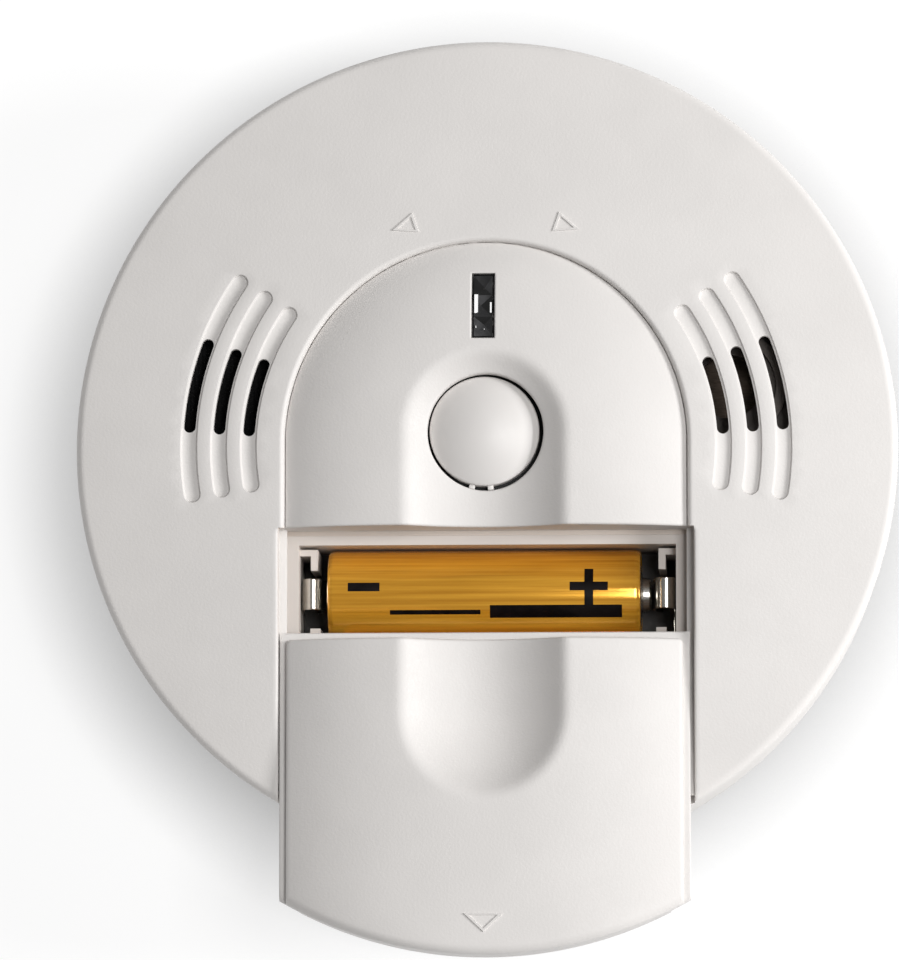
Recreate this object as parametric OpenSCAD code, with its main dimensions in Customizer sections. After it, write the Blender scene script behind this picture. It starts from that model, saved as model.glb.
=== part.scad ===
// Round battery-powered carbon monoxide and smoke detector on a twist-off wall bracket.
// Back of the bracket lies on z = 0, +Z points out through the face, +Y away from the battery door.

/* [Body] */
// Outer diameter of the front cover
cover_d = 128; // [126:1:132]
// Height of the face at its rim above the wall
rim_z = 34; // [33:0.5:36]
// Rise of the domed face from its rim to its middle
face_rise = 3.5; // [2:0.5:4]
// Wall thickness of the mouldings
wall = 2; // [1.8:0.1:2.2]

/* [Arched panel and door] */
// Half width of the arched panel at its edge
panel_half = 32; // [31.5:0.5:32.5]
// Height of the panel's edge above the wall
panel_edge_z = 35.4; // [35:0.1:36]
// Rise of the cushion-shaped panel from its edge to its crown
panel_rise = 5; // [4:0.5:6]
// Half width of the thumb scoop
scoop_half = 14; // [12:0.5:15]
// Depth of the thumb scoop below its rim
scoop_depth = 4.2; // [3:0.1:4.5]
// Distance that the door stands open at rest
door_open = 16.1; // [0:0.1:32]

/* [Button and window] */
// Radius of the test button
button_r = 8.6; // [7:0.1:9]
// Travel of the test button
button_travel = 0.8; // [0.4:0.1:1]
// Width of the indicator window
window_w = 3.6; // [3:0.1:5]
// Length of the indicator window
window_l = 10.3; // [8:0.1:11]

/* [Vents] */
// Distance between neighbouring vent arcs
vent_pitch = 4.7; // [4:0.1:5]
// Width of a vent groove
vent_groove_w = 2.4; // [2:0.1:3]
// Width of the slot through the face
vent_slot_w = 1.9; // [1.5:0.1:2.2]

/* [Batteries] */
// Radius of a cell over its sleeve
cell_r = 7.2; // [7:0.05:7.25]
// Length of a cell with its nub
cell_l = 50.5; // [49.5:0.1:50.5]

/* [Wall bracket] */
// Distance between the two opposite screw slots
slot_spacing = 84; // [80:1:88]
// Width of a screw slot
slot_w = 4.4; // [4:0.1:5]
// End-to-end length of a screw slot
slot_l = 9; // [7:0.5:10]

/* [Hidden] */
$fn = 96;

eps = 0.01;
cover_r = cover_d / 2;
skirt_z = 7;
skirt_r = cover_r - 0.8;
rim_round = 1.3;
dome_r = cover_r - rim_round;

arch_y = 0.8;
panel_low_y = -12.7;
panel_crown_z = panel_edge_z + panel_rise;
pillow_r = (panel_half * panel_half + panel_rise * panel_rise) / (2 * panel_rise);
scoop_rim_z = panel_crown_z - scoop_half * scoop_half / (2 * pillow_r);
scoop_floor_z = scoop_rim_z - scoop_depth;
scoop_r = (scoop_half * scoop_half + scoop_depth * scoop_depth) / (2 * scoop_depth);
scoop_low_y = -25.6;
button_y = 2.2;
plunger_z = 14.6;
stem_z = 17;

channel_half = 32.5;
channel_floor_z = 30.2;
ledge_half = 31.3;
ledge_z = 31.9;
ledge_t = 1;
door_half = 31;
door_top_y = -13;
door_r = cover_r - 0.4;
flange_half = 32.1;
flange_top_z = 34.4;
flange_t = 1.2;
foot_z = 30.6;
foot_t = 1;

vent_r = 46.6;
vent_groove_depth = 0.9;
vent_low = -9;
vent_high = 34;
slot_low = 3;
slot_high = 21.7;

cell_y = [-22.7, -38];
cell_z = 22.6;
cell_low_x = -24.9;
cell_high_x = cell_low_x + cell_l;
tray_half = 31.6;
tray_in_half = 29.6;
tray_y = [-47.3, -13.1];
tray_floor_z = 13.8;

board_z = 10.2;
board_t = 1.6;
board_top = board_z + board_t;
board_r = 57;
plate_t = 2;
plate_r = skirt_r - wall - 0.4;
plate_top = skirt_z + plate_t;

boss_r = 3.2;
boss_at = [90, 225, 315];
boss_ring = 55;
board_screw_at = [[-21, -52], [21, -52]];

bracket_r = 61.5;
bracket_h = 6.4;
bracket_t = 2.2;
bracket_hole_r = 20;
foot_at = [30, 150, 270];

chamber_at = [-38, 10];
chamber_r = 16.6;
sounder_at = [38, 10];
sounder_r = 16;
sensor_at = [15, 43];
sensor_r = 9;
window_at = [-0.3, 22.1];

white = [0.93, 0.92, 0.9];
inner_white = [0.88, 0.87, 0.85];
black = [0.06, 0.06, 0.06];
metal = [0.75, 0.73, 0.68];

// ---------- shared shapes ----------

// Height of the domed face at a radius
function dome_z(r) = rim_z + face_rise * (1 - (r / dome_r) * (r / dome_r));

// Half section of the cover, shrunk by an inset
module cover_section(inset, low_z) {
    dome_steps = 12;
    polygon(concat(
        [[0, low_z], [skirt_r - inset, low_z],
         [cover_r - inset, rim_z - rim_round - inset]],
        inset > 0 ? [] : [for (a = [15:15:75])
            [dome_r + rim_round * cos(a), rim_z - rim_round + rim_round * sin(a)]],
        [for (i = [dome_steps:-1:0])
            [(dome_r - inset * 0.4) * i / dome_steps, dome_z(dome_r * i / dome_steps) - inset]]));
}

// Solid of revolution under the cover's outside, shrunk by an inset
module cover_form(inset, low_z) {
    rotate_extrude($fn = 180) cover_section(inset, low_z);
}

// Arch in plan: a half circle on top of a straight-sided panel
module arch_plan(half, low_y) {
    translate([0, arch_y]) circle(half);
    translate([-half, low_y]) square([2 * half, arch_y - low_y]);
}

// Everything under the cushion surface of the panel and the door
module pillow(inset, length) {
    translate([0, arch_y, panel_crown_z - pillow_r]) {
        sphere(pillow_r - inset, $fn = 200);
        rotate([90, 0, 0]) cylinder(r = pillow_r - inset, h = length, $fn = 200);
    }
}

// The thumb scoop: a round-bottomed trough with round ends, grown by an outset
module scoop(outset) {
    translate([0, 0, scoop_floor_z + scoop_r]) {
        for (y = [button_y, scoop_low_y]) {
            translate([0, y, 0]) sphere(scoop_r + outset);
        }
        translate([0, button_y, 0]) rotate([90, 0, 0])
            cylinder(r = scoop_r + outset, h = button_y - scoop_low_y);
    }
}

// Curved bar with round ends, from one angle to another
module arc_bar(r, w, from, to, low_z, high_z) {
    end_d = w - 0.04;
    rotate([0, 0, from]) rotate_extrude(angle = to - from)
        translate([r - w / 2, low_z]) square([w, high_z - low_z]);
    for (a = [from, to]) {
        rotate([0, 0, a]) translate([r, 0, low_z]) cylinder(d = end_d, h = high_z - low_z, $fn = 32);
    }
}

// Block between two corners
module block(low, high) {
    translate(low) cube(high - low);
}

// Cylinder standing at a point in plan
module post(at, r, low_z, high_z) {
    translate([at[0], at[1], low_z]) cylinder(r = r, h = high_z - low_z);
}

// Outline of a triangle that points along +X, as a thin raised frame
module arrow_frame(length, width, height) {
    border = 0.45;
    linear_extrude(height) difference() {
        polygon([[0, -width / 2], [length, 0], [0, width / 2]]);
        polygon([[border, -width / 2 + 1.6 * border], [length - 2.2 * border, 0],
                 [border, width / 2 - 1.6 * border]]);
    }
}

// Places where a screw joins the cover, the board and the rear housing
module at_bosses() {
    for (a = boss_at) {
        rotate([0, 0, a]) translate([boss_ring, 0, 0]) children();
    }
}

// ---------- wall bracket ----------

module screw_slot() {
    for (x = [-1, 1]) {
        translate([x * (slot_l - slot_w) / 2, 0, -1]) cylinder(d = slot_w, h = 10);
    }
    block([-(slot_l - slot_w) / 2, -slot_w / 2, -1], [(slot_l - slot_w) / 2, slot_w / 2, 9]);
}

// Sector of a ring between two radii, two angles and two heights
module ring_sector(r_in, r_out, from, to, low_z, high_z) {
    rotate([0, 0, from]) rotate_extrude(angle = to - from)
        translate([r_in, low_z]) square([r_out - r_in, high_z - low_z]);
}

module mounting_bracket() {
    ledge_r = 53.4;
    color(white) difference() {
        union() {
            difference() {
                cylinder(r = bracket_r, h = bracket_h, $fn = 180);
                translate([0, 0, bracket_t]) cylinder(r = bracket_r - wall, h = 9, $fn = 180);
            }
            for (a = foot_at) {
                ring_sector(ledge_r, bracket_r - 1, a - 8, a + 5, 5, bracket_h);
                ring_sector(ledge_r, bracket_r - 1, a - 8, a - 5, bracket_t - eps, bracket_h);
            }
            difference() {
                cylinder(r = bracket_hole_r + 2, h = bracket_t + 1.2);
                translate([0, 0, -1]) cylinder(r = bracket_hole_r, h = 9);
            }
            for (a = [45:90:315]) {
                rotate([0, 0, a])
                    block([bracket_hole_r + 1, -0.8, 1], [48, 0.8, bracket_t + 1]);
            }
        }
        translate([0, 0, -1]) cylinder(r = bracket_hole_r, h = 9);
        for (a = [0:90:270]) {
            rotate([0, 0, a]) translate([slot_spacing / 2, 0, 0]) screw_slot();
        }
    }
}

// ---------- housing ----------

module rear_housing() {
    stand_r = 4.6;
    color(inner_white) difference() {
        union() {
            translate([0, 0, skirt_z]) cylinder(r = plate_r, h = plate_t, $fn = 180);
            difference() {
                translate([0, 0, skirt_z]) cylinder(r = plate_r, h = 5, $fn = 180);
                translate([0, 0, skirt_z - 1]) cylinder(r = plate_r - 1.8, h = 7, $fn = 180);
            }
            at_bosses() translate([0, 0, skirt_z]) cylinder(r = stand_r, h = board_z - skirt_z);
            for (p = board_screw_at) {
                post(p, 3, skirt_z, board_z);
            }
            // Bayonet feet that hook under the bracket's ledges
            for (a = foot_at) {
                ring_sector(50, 52.6, a - 3, a + 3, 3, skirt_z + eps);
                ring_sector(50, 56.5, a - 3, a + 3, 3, 4.5);
            }
        }
        at_bosses() {
            translate([0, 0, skirt_z - 1]) cylinder(r = 1.6, h = 9);
            translate([0, 0, skirt_z - 1]) cylinder(r = 3.1, h = 2.7);
        }
        for (p = board_screw_at) {
            post(p, 1.1, plate_top - 0.6, board_z + 1);
        }
    }
}

module rating_plate() {
    color([0.8, 0.8, 0.8]) block([-13, -8, skirt_z - 0.3], [13, 8, skirt_z]);
}

module panel_shell() {
    intersection() {
        difference() {
            pillow(0, 30);
            difference() {
                pillow(wall, 32);
                scoop(wall);
            }
            scoop(0);
        }
        translate([0, 0, 31]) linear_extrude(12) arch_plan(panel_half, panel_low_y);
    }
}

module cover_walls() {
    // Collar that joins the panel's edge to the face
    intersection() {
        translate([0, 0, panel_edge_z - wall]) linear_extrude(wall - 0.2) difference() {
            arch_plan(panel_half + wall, panel_low_y);
            arch_plan(panel_half - wall, panel_low_y - 1);
        }
        cover_form(0, skirt_z);
    }
    // Lip at the panel's lower edge, over the battery bay
    intersection() {
        block([-channel_half, panel_low_y, 28.4], [channel_half, panel_low_y + wall, 42]);
        pillow(0.2, 30);
    }
    intersection() {
        cover_form(0.5, skirt_z);
        union() {
            // Channel walls beside the door, each with the ledge that the door's feet hook under
            for (side = [0, 1]) {
                mirror([side, 0, 0]) {
                    block([channel_half, -cover_r, 28.4], [channel_half + wall, panel_low_y + wall, 40]);
                    block([ledge_half, -55, ledge_z],
                          [channel_half + eps, panel_low_y + eps, ledge_z + ledge_t]);
                }
            }
            // Floor of the channel below the battery bay, with two stops for the door's feet
            block([-channel_half - wall, -cover_r, channel_floor_z - 1.8],
                  [channel_half + wall, tray_y[0] - 0.3, channel_floor_z]);
            for (x = [-31.2, 29.8]) {
                block([x, -56.5, channel_floor_z - eps], [x + 1.4, -55.3, channel_floor_z + 1]);
            }
            at_bosses() translate([0, 0, board_top]) cylinder(r = boss_r, h = 24);
        }
    }
}

module vent_cuts() {
    for (i = [0:2]) {
        r = vent_r - i * vent_pitch;
        arc_bar(r, vent_groove_w, vent_low, vent_high, dome_z(r) - vent_groove_depth, 40);
        ring_sector(r - vent_slot_w / 2, r + vent_slot_w / 2, slot_low, slot_high, 28, 40);
    }
}

// Notches in the lower edge of the skirt, in pairs
module skirt_notches() {
    notch_w = 1.9;
    for (side = [0, 180], flip = [0, 1], a = [-50, -56.5]) {
        rotate([0, 0, side]) mirror([flip, 0, 0]) rotate([0, 0, a])
            block([cover_r - 5, -notch_w / 2, skirt_z - 1], [cover_r + 2, notch_w / 2, skirt_z + 2.4]);
    }
}

module face_marks() {
    mark = 0.3;
    for (side = [0, 1]) {
        mirror([side, 0, 0]) translate([10.9, 35.6, 0]) intersection() {
            translate([0, 0, 33]) arrow_frame(4, 3, 6);
            translate([-10.9, -35.6, mark]) cover_form(0, skirt_z);
        }
    }
}

module front_cover() {
    color(white) difference() {
        union() {
            difference() {
                cover_form(0, skirt_z);
                cover_form(wall, skirt_z - 1);
                translate([0, 0, 30]) linear_extrude(20) arch_plan(panel_half, panel_low_y);
            }
            face_marks();
            panel_shell();
            cover_walls();
        }
        // Channel for the door, open at the rim
        block([-channel_half, -cover_r - 5, ledge_z + ledge_t], [channel_half, panel_low_y, 50]);
        block([-ledge_half, -cover_r - 5, channel_floor_z + 1], [ledge_half, panel_low_y, 50]);
        block([-29, -cover_r - 5, channel_floor_z], [29, panel_low_y, 50]);
        for (x = [-1, 1]) {
            block([min(x * channel_half, x * 28), -cover_r - 5, channel_floor_z],
                  [max(x * channel_half, x * 28), -56.5, 50]);
        }
        for (x = [-1, 1]) {
            block([min(x * channel_half, x * 28), -55.3, channel_floor_z],
                  [max(x * channel_half, x * 28), panel_low_y, ledge_z]);
        }
        vent_cuts();
        mirror([1, 0, 0]) vent_cuts();
        skirt_notches();
        post([0, button_y], button_r + 0.5, 28, 45);
        block([window_at[0] - window_w / 2, window_at[1] - window_l / 2, 28],
              [window_at[0] + window_w / 2, window_at[1] + window_l / 2, 45]);
        at_bosses() translate([0, 0, board_top - 1]) cylinder(r = 1.3, h = 14);
    }
}

// ---------- battery bay ----------

module battery_tray() {
    tray_wall = 1.6;
    floor_top = tray_floor_z + 1.4;
    color(inner_white) difference() {
        union() {
            difference() {
                block([-tray_half, tray_y[0], tray_floor_z], [tray_half, tray_y[1], channel_floor_z]);
                block([-tray_in_half, tray_y[0] + tray_wall, floor_top],
                      [tray_in_half, tray_y[1] - tray_wall - 0.2, 40]);
            }
            // Cradles under the cells
            for (x = [-14, 12]) {
                block([x, tray_y[0] + 1, floor_top - eps], [x + 2, tray_y[1] - 1, floor_top + 4]);
            }
            // Hooks and ribs that hold the contacts
            for (y = cell_y, side = [0, 1]) {
                mirror([side, 0, 0]) {
                    block([26.8, y + 6.4, floor_top - eps], [tray_in_half + eps, y + 7.4, 27.4]);
                    block([26.8, y + 4.1, floor_top - eps], [27.9, y + 6.5, 27.4]);
                    block([26.4, y - 6.6, floor_top - eps], [28, y - 5, 27]);
                }
            }
            for (x = [-26, 26], y = [-43, -18]) {
                post([x, y], 1.5, board_top, tray_floor_z + eps);
            }
        }
        for (y = cell_y) {
            translate([-26, y, cell_z]) rotate([0, 90, 0]) cylinder(r = cell_r + 0.15, h = 52);
        }
        // Slots in the floor for the contact tails
        for (x = [-29.5, 28.9], y = cell_y) {
            block([x, y - 1.2, tray_floor_z - 1], [x + 0.6, y + 2.2, floor_top + 1]);
        }
        // Notch for the strip that joins the two contacts on the right
        block([28.9, cell_y[1], floor_top], [29.5, cell_y[0], 18.8]);
    }
}

// Folded contact leaf: up the end wall, over the top and down against the cell
module contact_leaf(width) {
    t = 0.4;
    bend_r = 1.6;
    wall_x = 29.4;
    rotate([90, 0, 0]) translate([0, 0, -width / 2]) linear_extrude(width) {
        translate([wall_x - t, 15.4]) square([t, 9.6]);
        translate([wall_x - bend_r, 25]) intersection() {
            difference() {
                circle(bend_r, $fn = 48);
                circle(bend_r - t, $fn = 48);
            }
            translate([-4, 0]) square([8, 4]);
        }
        polygon([[wall_x - 2 * bend_r, 25], [wall_x - 2 * bend_r + t, 25],
                 [25.72 + t, 21.5], [27.4, 18.2], [27, 18], [25.72, 21.4]]);
    }
}

// Solder tail that runs down through the tray and the board
module contact_tail() {
    block([29, -1.5, board_z - 1.2], [29.4, 1.5, 15.6]);
}

module contact_cell_1() {
    color(metal) translate([0, cell_y[0] + 0.5, 0]) mirror([1, 0, 0]) {
        contact_leaf(4.9);
        contact_tail();
    }
}

module contact_cell_2() {
    color(metal) translate([0, cell_y[1] + 0.5, 0]) mirror([1, 0, 0]) {
        contact_leaf(4.9);
        contact_tail();
    }
}

module contact_bridge() {
    color(metal) {
        for (y = cell_y) {
            translate([0, y + 0.5, 0]) contact_leaf(4.9);
        }
        block([29, cell_y[1] - 1.9, 15.4], [29.4, cell_y[0] + 2.9, 18.6]);
    }
}

// Steel can of a cell, with its nub towards +X
module cell_can() {
    body_l = cell_l - 1.6;
    translate([cell_low_x, 0, 0]) rotate([0, 90, 0]) {
        cylinder(r = cell_r - 0.15, h = body_l);
        cylinder(r = 4.4, h = 0.01 + body_l);
        cylinder(r = 2.75, h = cell_l);
    }
}

module cell_sleeve() {
    translate([cell_low_x + 0.4, 0, 0]) rotate([0, 90, 0]) difference() {
        cylinder(r = cell_r, h = cell_l - 2.4);
        translate([0, 0, -1]) cylinder(r = cell_r - 0.15, h = cell_l);
    }
}

// The second cell lies the other way round
module second_cell() {
    translate([cell_low_x + cell_high_x, cell_y[1], cell_z]) rotate([0, 0, 180]) children();
}

module cell_1_can() {
    color(metal) translate([0, cell_y[0], cell_z]) cell_can();
}

module cell_1_sleeve() {
    color([0.72, 0.45, 0.12]) translate([0, cell_y[0], cell_z]) cell_sleeve();
}

module cell_2_can() {
    color(metal) second_cell() cell_can();
}

module cell_2_sleeve() {
    color([0.72, 0.45, 0.12]) second_cell() cell_sleeve();
}

// ---------- door ----------

// Door in its closed place
module closed_door() {
    skirt_in = 29.8;
    difference() {
        union() {
            // Cushion-shaped front, hollow underneath
            intersection() {
                difference() {
                    pillow(0, 80);
                    difference() {
                        pillow(wall, 82);
                        scoop(wall);
                    }
                    scoop(0);
                }
                translate([0, 0, flange_top_z - flange_t]) linear_extrude(12) intersection() {
                    circle(door_r, $fn = 180);
                    translate([-door_half, -70]) square([2 * door_half, 70 + door_top_y]);
                }
            }
            // Flange round the sides and the top, one step lower
            intersection() {
                post([0, 0], door_r, 20, 45);
                union() {
                    for (side = [0, 1]) {
                        mirror([side, 0, 0])
                            block([skirt_in, -70, flange_top_z - flange_t],
                                  [flange_half, door_top_y, flange_top_z]);
                        mirror([side, 0, 0])
                            block([skirt_in, -70, foot_z + foot_t],
                                  [door_half, door_top_y - 1, flange_top_z]);
                    }
                    block([-flange_half, door_top_y - 1.8, flange_top_z - flange_t],
                          [flange_half, door_top_y, flange_top_z]);
                }
            }
            // Wall at the top end, up to the cushion surface
            intersection() {
                pillow(0, 80);
                block([-door_half, door_top_y - 3, flange_top_z - flange_t],
                      [door_half, door_top_y - 1.2, 45]);
            }
            // Rounded end wall that completes the rim of the cover
            intersection() {
                pillow(0, 80);
                difference() {
                    post([0, 0], door_r, foot_z, 45);
                    post([0, 0], door_r - wall, foot_z - 1, 46);
                }
                block([-29, -70, foot_z], [29, -50, 45]);
            }
            // Feet that run under the ledges
            for (side = [0, 1]) {
                mirror([side, 0, 0])
                    block([skirt_in, -22, foot_z], [flange_half, -14, foot_z + foot_t + eps]);
            }
        }
        // The top flange stands one step below the front
        block([-40, door_top_y - 1.2, flange_top_z], [40, door_top_y + 1, 45]);
        scoop(0);
    }
}

module battery_door() {
    color(white) translate([0, -door_open, 0]) {
        closed_door();
        // Raised outline of an arrow that points the way to slide
        translate([0, -57.2, 36]) rotate([0, 0, -90]) intersection() {
            arrow_frame(2.9, 6, 8);
            rotate([0, 0, 90]) translate([0, 57.2, -35.7]) pillow(0, 80);
        }
    }
}

// ---------- button, window and lamps ----------

module test_button() {
    flange_z = scoop_floor_z - wall - 1.8;
    cap_edge_z = scoop_floor_z + 0.6;
    cap_rise = 2;
    cap_sphere_r = (button_r * button_r + cap_rise * cap_rise) / (2 * cap_rise);
    color(white) translate([0, button_y, 0]) {
        difference() {
            union() {
                translate([0, 0, flange_z]) cylinder(r = button_r, h = cap_edge_z - flange_z);
                translate([0, 0, flange_z]) cylinder(r = button_r + 1.4, h = 1.2);
                intersection() {
                    translate([0, 0, cap_edge_z + cap_rise - cap_sphere_r]) sphere(cap_sphere_r);
                    translate([0, 0, flange_z + 1]) cylinder(r = button_r, h = 10);
                }
            }
            translate([0, 0, flange_z - 1])
                cylinder(r = button_r - 1.6, h = cap_edge_z - flange_z - 0.4);
        }
        translate([0, 0, stem_z]) cylinder(r = 2.2, h = cap_edge_z - stem_z - 0.2);
        for (a = [0, 90]) {
            rotate([0, 0, a]) block([-button_r + 1, -0.5, flange_z], [button_r - 1, 0.5, cap_edge_z - 1]);
        }
    }
}

module switch_plunger() {
    color(black) post([0, button_y], 1.7, plunger_z, stem_z);
}

module test_switch() {
    half = 3;
    color([0.35, 0.35, 0.36]) difference() {
        block([-half, button_y - half, board_top], [half, button_y + half, 15.4]);
        post([0, button_y], 1.9, plunger_z - button_travel - 0.4, 16);
    }
}

module status_window() {
    gap = 0.1;
    color([0.12, 0.12, 0.13]) intersection() {
        block([window_at[0] - window_w / 2 + gap, window_at[1] - window_l / 2 + gap, 31],
              [window_at[0] + window_w / 2 - gap, window_at[1] + window_l / 2 - gap, 42]);
        pillow(0.5, 10);
    }
}

module light_guide() {
    color([0.85, 0.87, 0.88])
        block([window_at[0] - 1.4, window_at[1] - 4.6, 17.3], [window_at[0] + 1.4, window_at[1] + 4.6, 31]);
}

// Round lamp with a domed top
module lamp(at) {
    lamp_r = 1.5;
    post(at, lamp_r, board_top, 15.7);
    translate([at[0], at[1], 15.7]) sphere(lamp_r, $fn = 32);
    post(at, 1.9, board_top, board_top + 1);
}

module led_red() {
    color([0.8, 0.1, 0.08]) lamp([window_at[0], window_at[1] + 2.4]);
}

module led_green() {
    color([0.15, 0.6, 0.2]) lamp([window_at[0], window_at[1] - 2.4]);
}

// ---------- board ----------

module circuit_board() {
    color([0.08, 0.35, 0.16]) difference() {
        translate([0, 0, board_z]) cylinder(r = board_r, h = board_t, $fn = 180);
        at_bosses() translate([0, 0, board_z - 1]) cylinder(r = 1.6, h = 4);
        for (p = board_screw_at) {
            post(p, 1.3, board_z - 1, board_top + 1);
        }
        for (x = [-29.5, 28.9], y = cell_y) {
            block([x, y - 1.2, board_z - 1], [x + 0.6, y + 2.2, board_top + 1]);
        }
    }
}

// Flat package with a row of leads on each side
module chip(at, size, pins) {
    body_h = 1.4;
    lead_w = 0.45;
    pitch = size[1] / pins;
    translate([at[0], at[1], board_top]) {
        block([-size[0] / 2, -size[1] / 2, 0.15], [size[0] / 2, size[1] / 2, body_h]);
        for (i = [0:pins - 1]) {
            y = -size[1] / 2 + (i + 0.5) * pitch;
            block([-size[0] / 2 - 1, y - lead_w / 2, 0], [size[0] / 2 + 1, y + lead_w / 2, 0.3]);
        }
    }
}

module microcontroller() {
    color(black) chip([-14, 34], [7.5, 12], 9);
}

module logic_chip() {
    color(black) chip([11, 10], [4, 6], 4);
}

module chip_components() {
    color([0.55, 0.42, 0.3]) {
        for (i = [0:5]) {
            translate([-16 + 3 * i, -5, board_top]) block([-0.6, -1, 0], [0.6, 1, 0.6]);
        }
        for (i = [0:4]) {
            translate([-28 + 3 * i, 42, board_top]) block([-1, -0.6, 0], [1, 0.6, 0.6]);
        }
        for (i = [0:3]) {
            translate([9, 18 + 2.6 * i, board_top]) block([-1, -0.6, 0], [1, 0.6, 0.6]);
        }
    }
}

// Round cans with a crimped shoulder
module capacitors() {
    color([0.1, 0.13, 0.3]) for (p = [[17, 26, 4, 11], [-13, 16, 3.15, 9], [-13, 4, 3.15, 9]]) {
        translate([p[0], p[1], board_top]) difference() {
            cylinder(r = p[2], h = p[3]);
            translate([0, 0, 1.6]) rotate_extrude()
                translate([p[2] + 0.3, 0]) circle(0.6, $fn = 24);
        }
    }
}

module boost_coil() {
    color([0.12, 0.1, 0.1]) translate([14, -3, board_top]) {
        cylinder(r = 4.5, h = 1.2);
        cylinder(r = 3.6, h = 8);
        translate([0, 0, 6.8]) cylinder(r = 4.5, h = 1.2);
    }
}

// ---------- smoke chamber ----------

module smoke_chamber_base() {
    color(black) {
        post(chamber_at, chamber_r + 0.8, board_top, board_top + 1.6);
        difference() {
            post(chamber_at, chamber_r - 3, board_top, board_top + 5);
            post(chamber_at, chamber_r - 4.2, board_top + 1.6, board_top + 6);
        }
    }
}

module smoke_chamber_cap() {
    blades = 14;
    low = board_top + 5;
    color(black) translate([chamber_at[0], chamber_at[1], 0]) {
        translate([0, 0, 27]) cylinder(r = chamber_r - 0.6, h = 1.5);
        for (i = [0:blades - 1]) {
            rotate([0, 0, i * 360 / blades]) translate([chamber_r - 3.2, 0, low]) rotate([0, 0, 35])
                block([-2, -0.5, 0], [2, 0.5, 27 - low + eps]);
        }
        difference() {
            translate([0, 0, low]) cylinder(r = chamber_r - 1, h = 1);
            translate([0, 0, low - 1]) cylinder(r = chamber_r - 5.5, h = 3);
        }
    }
}

module insect_screen() {
    mesh_t = 0.4;
    low = board_top + 1.6;
    color(black) difference() {
        post(chamber_at, chamber_r + mesh_t, low, 30.4);
        post(chamber_at, chamber_r, low - 1, 30.4 - mesh_t);
    }
}

// Round lamp or receiver body lying in the chamber
module chamber_lamp(turn) {
    translate([chamber_at[0], chamber_at[1], 21]) rotate([0, 0, turn]) rotate([0, 90, 0]) {
        translate([0, 0, 5]) cylinder(r = 2.4, h = 3, $fn = 48);
        translate([0, 0, 5]) sphere(2.4, $fn = 48);
    }
}

module ir_emitter() {
    color([0.3, 0.32, 0.5]) chamber_lamp(-30);
}

module photo_diode() {
    color([0.1, 0.1, 0.12]) chamber_lamp(110);
}

// ---------- carbon monoxide sensor ----------

module co_sensor_cell() {
    color(metal) difference() {
        post(sensor_at, sensor_r, board_top + 1.5, 25);
        post(sensor_at, 5.5, 23.6, 26);
    }
}

module co_sensor_cap() {
    color(inner_white) difference() {
        post(sensor_at, sensor_r + 0.7, 24, 28);
        post(sensor_at, sensor_r, 23, 25);
        post(sensor_at, 2.6, 23, 29);
    }
}

module co_sensor_pins() {
    color([0.8, 0.68, 0.35]) for (a = [90, 210, 330]) {
        translate([sensor_at[0] + 5 * cos(a), sensor_at[1] + 5 * sin(a), board_top])
            cylinder(r = 0.5, h = 1.5, $fn = 24);
    }
}

// ---------- sounder ----------

module sounder_housing() {
    color(black) difference() {
        post(sounder_at, sounder_r, board_top, 24);
        post(sounder_at, sounder_r - 2, board_top + 2, 25);
        post(sounder_at, sounder_r - 1.2, 22.6, 25);
    }
}

module sounder_gasket() {
    color([0.2, 0.2, 0.2]) difference() {
        post(sounder_at, sounder_r - 1.2, 22.6, 23.2);
        post(sounder_at, sounder_r - 3, 22, 24);
    }
}

module sounder_disc() {
    color([0.78, 0.62, 0.28]) {
        post(sounder_at, sounder_r - 1.2, 23.2, 23.5);
        post(sounder_at, sounder_r - 5, 23.5, 23.7);
    }
}

module sounder_cap() {
    color([0.42, 0.38, 0.34]) difference() {
        union() {
            post(sounder_at, sounder_r, 24, 29);
            translate([sounder_at[0], sounder_at[1], 29]) difference() {
                cylinder(r = 9, h = 1.4);
                translate([0, 0, -1]) cylinder(r = 7.4, h = 4);
            }
        }
        post(sounder_at, sounder_r - 1.6, 23, 27.4);
        post(sounder_at, 5, 26, 32);
    }
}

// ---------- fasteners ----------

// Screw pointing up, with a low round head and a cross recess
module screw(shank_r, head_r, head_h, length) {
    difference() {
        union() {
            cylinder(r = head_r, h = head_h, $fn = 48);
            cylinder(r = shank_r, h = length, $fn = 48);
        }
        for (a = [0, 90]) {
            rotate([0, 0, a]) block([-head_r * 0.6, -0.35, -1], [head_r * 0.6, 0.35, 0.9]);
        }
    }
}

module housing_screws() {
    color(metal) at_bosses() translate([0, 0, skirt_z + 0.1]) screw(1.3, 2.8, 1.6, 15);
}

module board_screws() {
    color(metal) for (p = board_screw_at) {
        translate([p[0], p[1], board_top + 1.3]) mirror([0, 0, 1]) screw(1.05, 2.4, 1.3, 4);
    }
}

mounting_bracket();
rear_housing();
rating_plate();
front_cover();
battery_tray();
battery_door();
test_button();
switch_plunger();
test_switch();
status_window();
light_guide();
led_red();
led_green();
circuit_board();
microcontroller();
logic_chip();
chip_components();
capacitors();
boost_coil();
smoke_chamber_base();
smoke_chamber_cap();
insect_screen();
ir_emitter();
photo_diode();
co_sensor_cell();
co_sensor_cap();
co_sensor_pins();
sounder_housing();
sounder_disc();
sounder_cap();
sounder_gasket();
contact_cell_1();
contact_cell_2();
contact_bridge();
cell_1_can();
cell_1_sleeve();
cell_2_can();
cell_2_sleeve();
housing_screws();
board_screws();
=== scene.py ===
from math import acos, asin, atan2, ceil, cos, degrees, dist, hypot, pi, radians, sin, sqrt, tan

import bmesh
import bpy
from mathutils import Matrix, Vector
from mathutils.geometry import delaunay_2d_cdt
from mathutils.kdtree import KDTree


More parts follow.
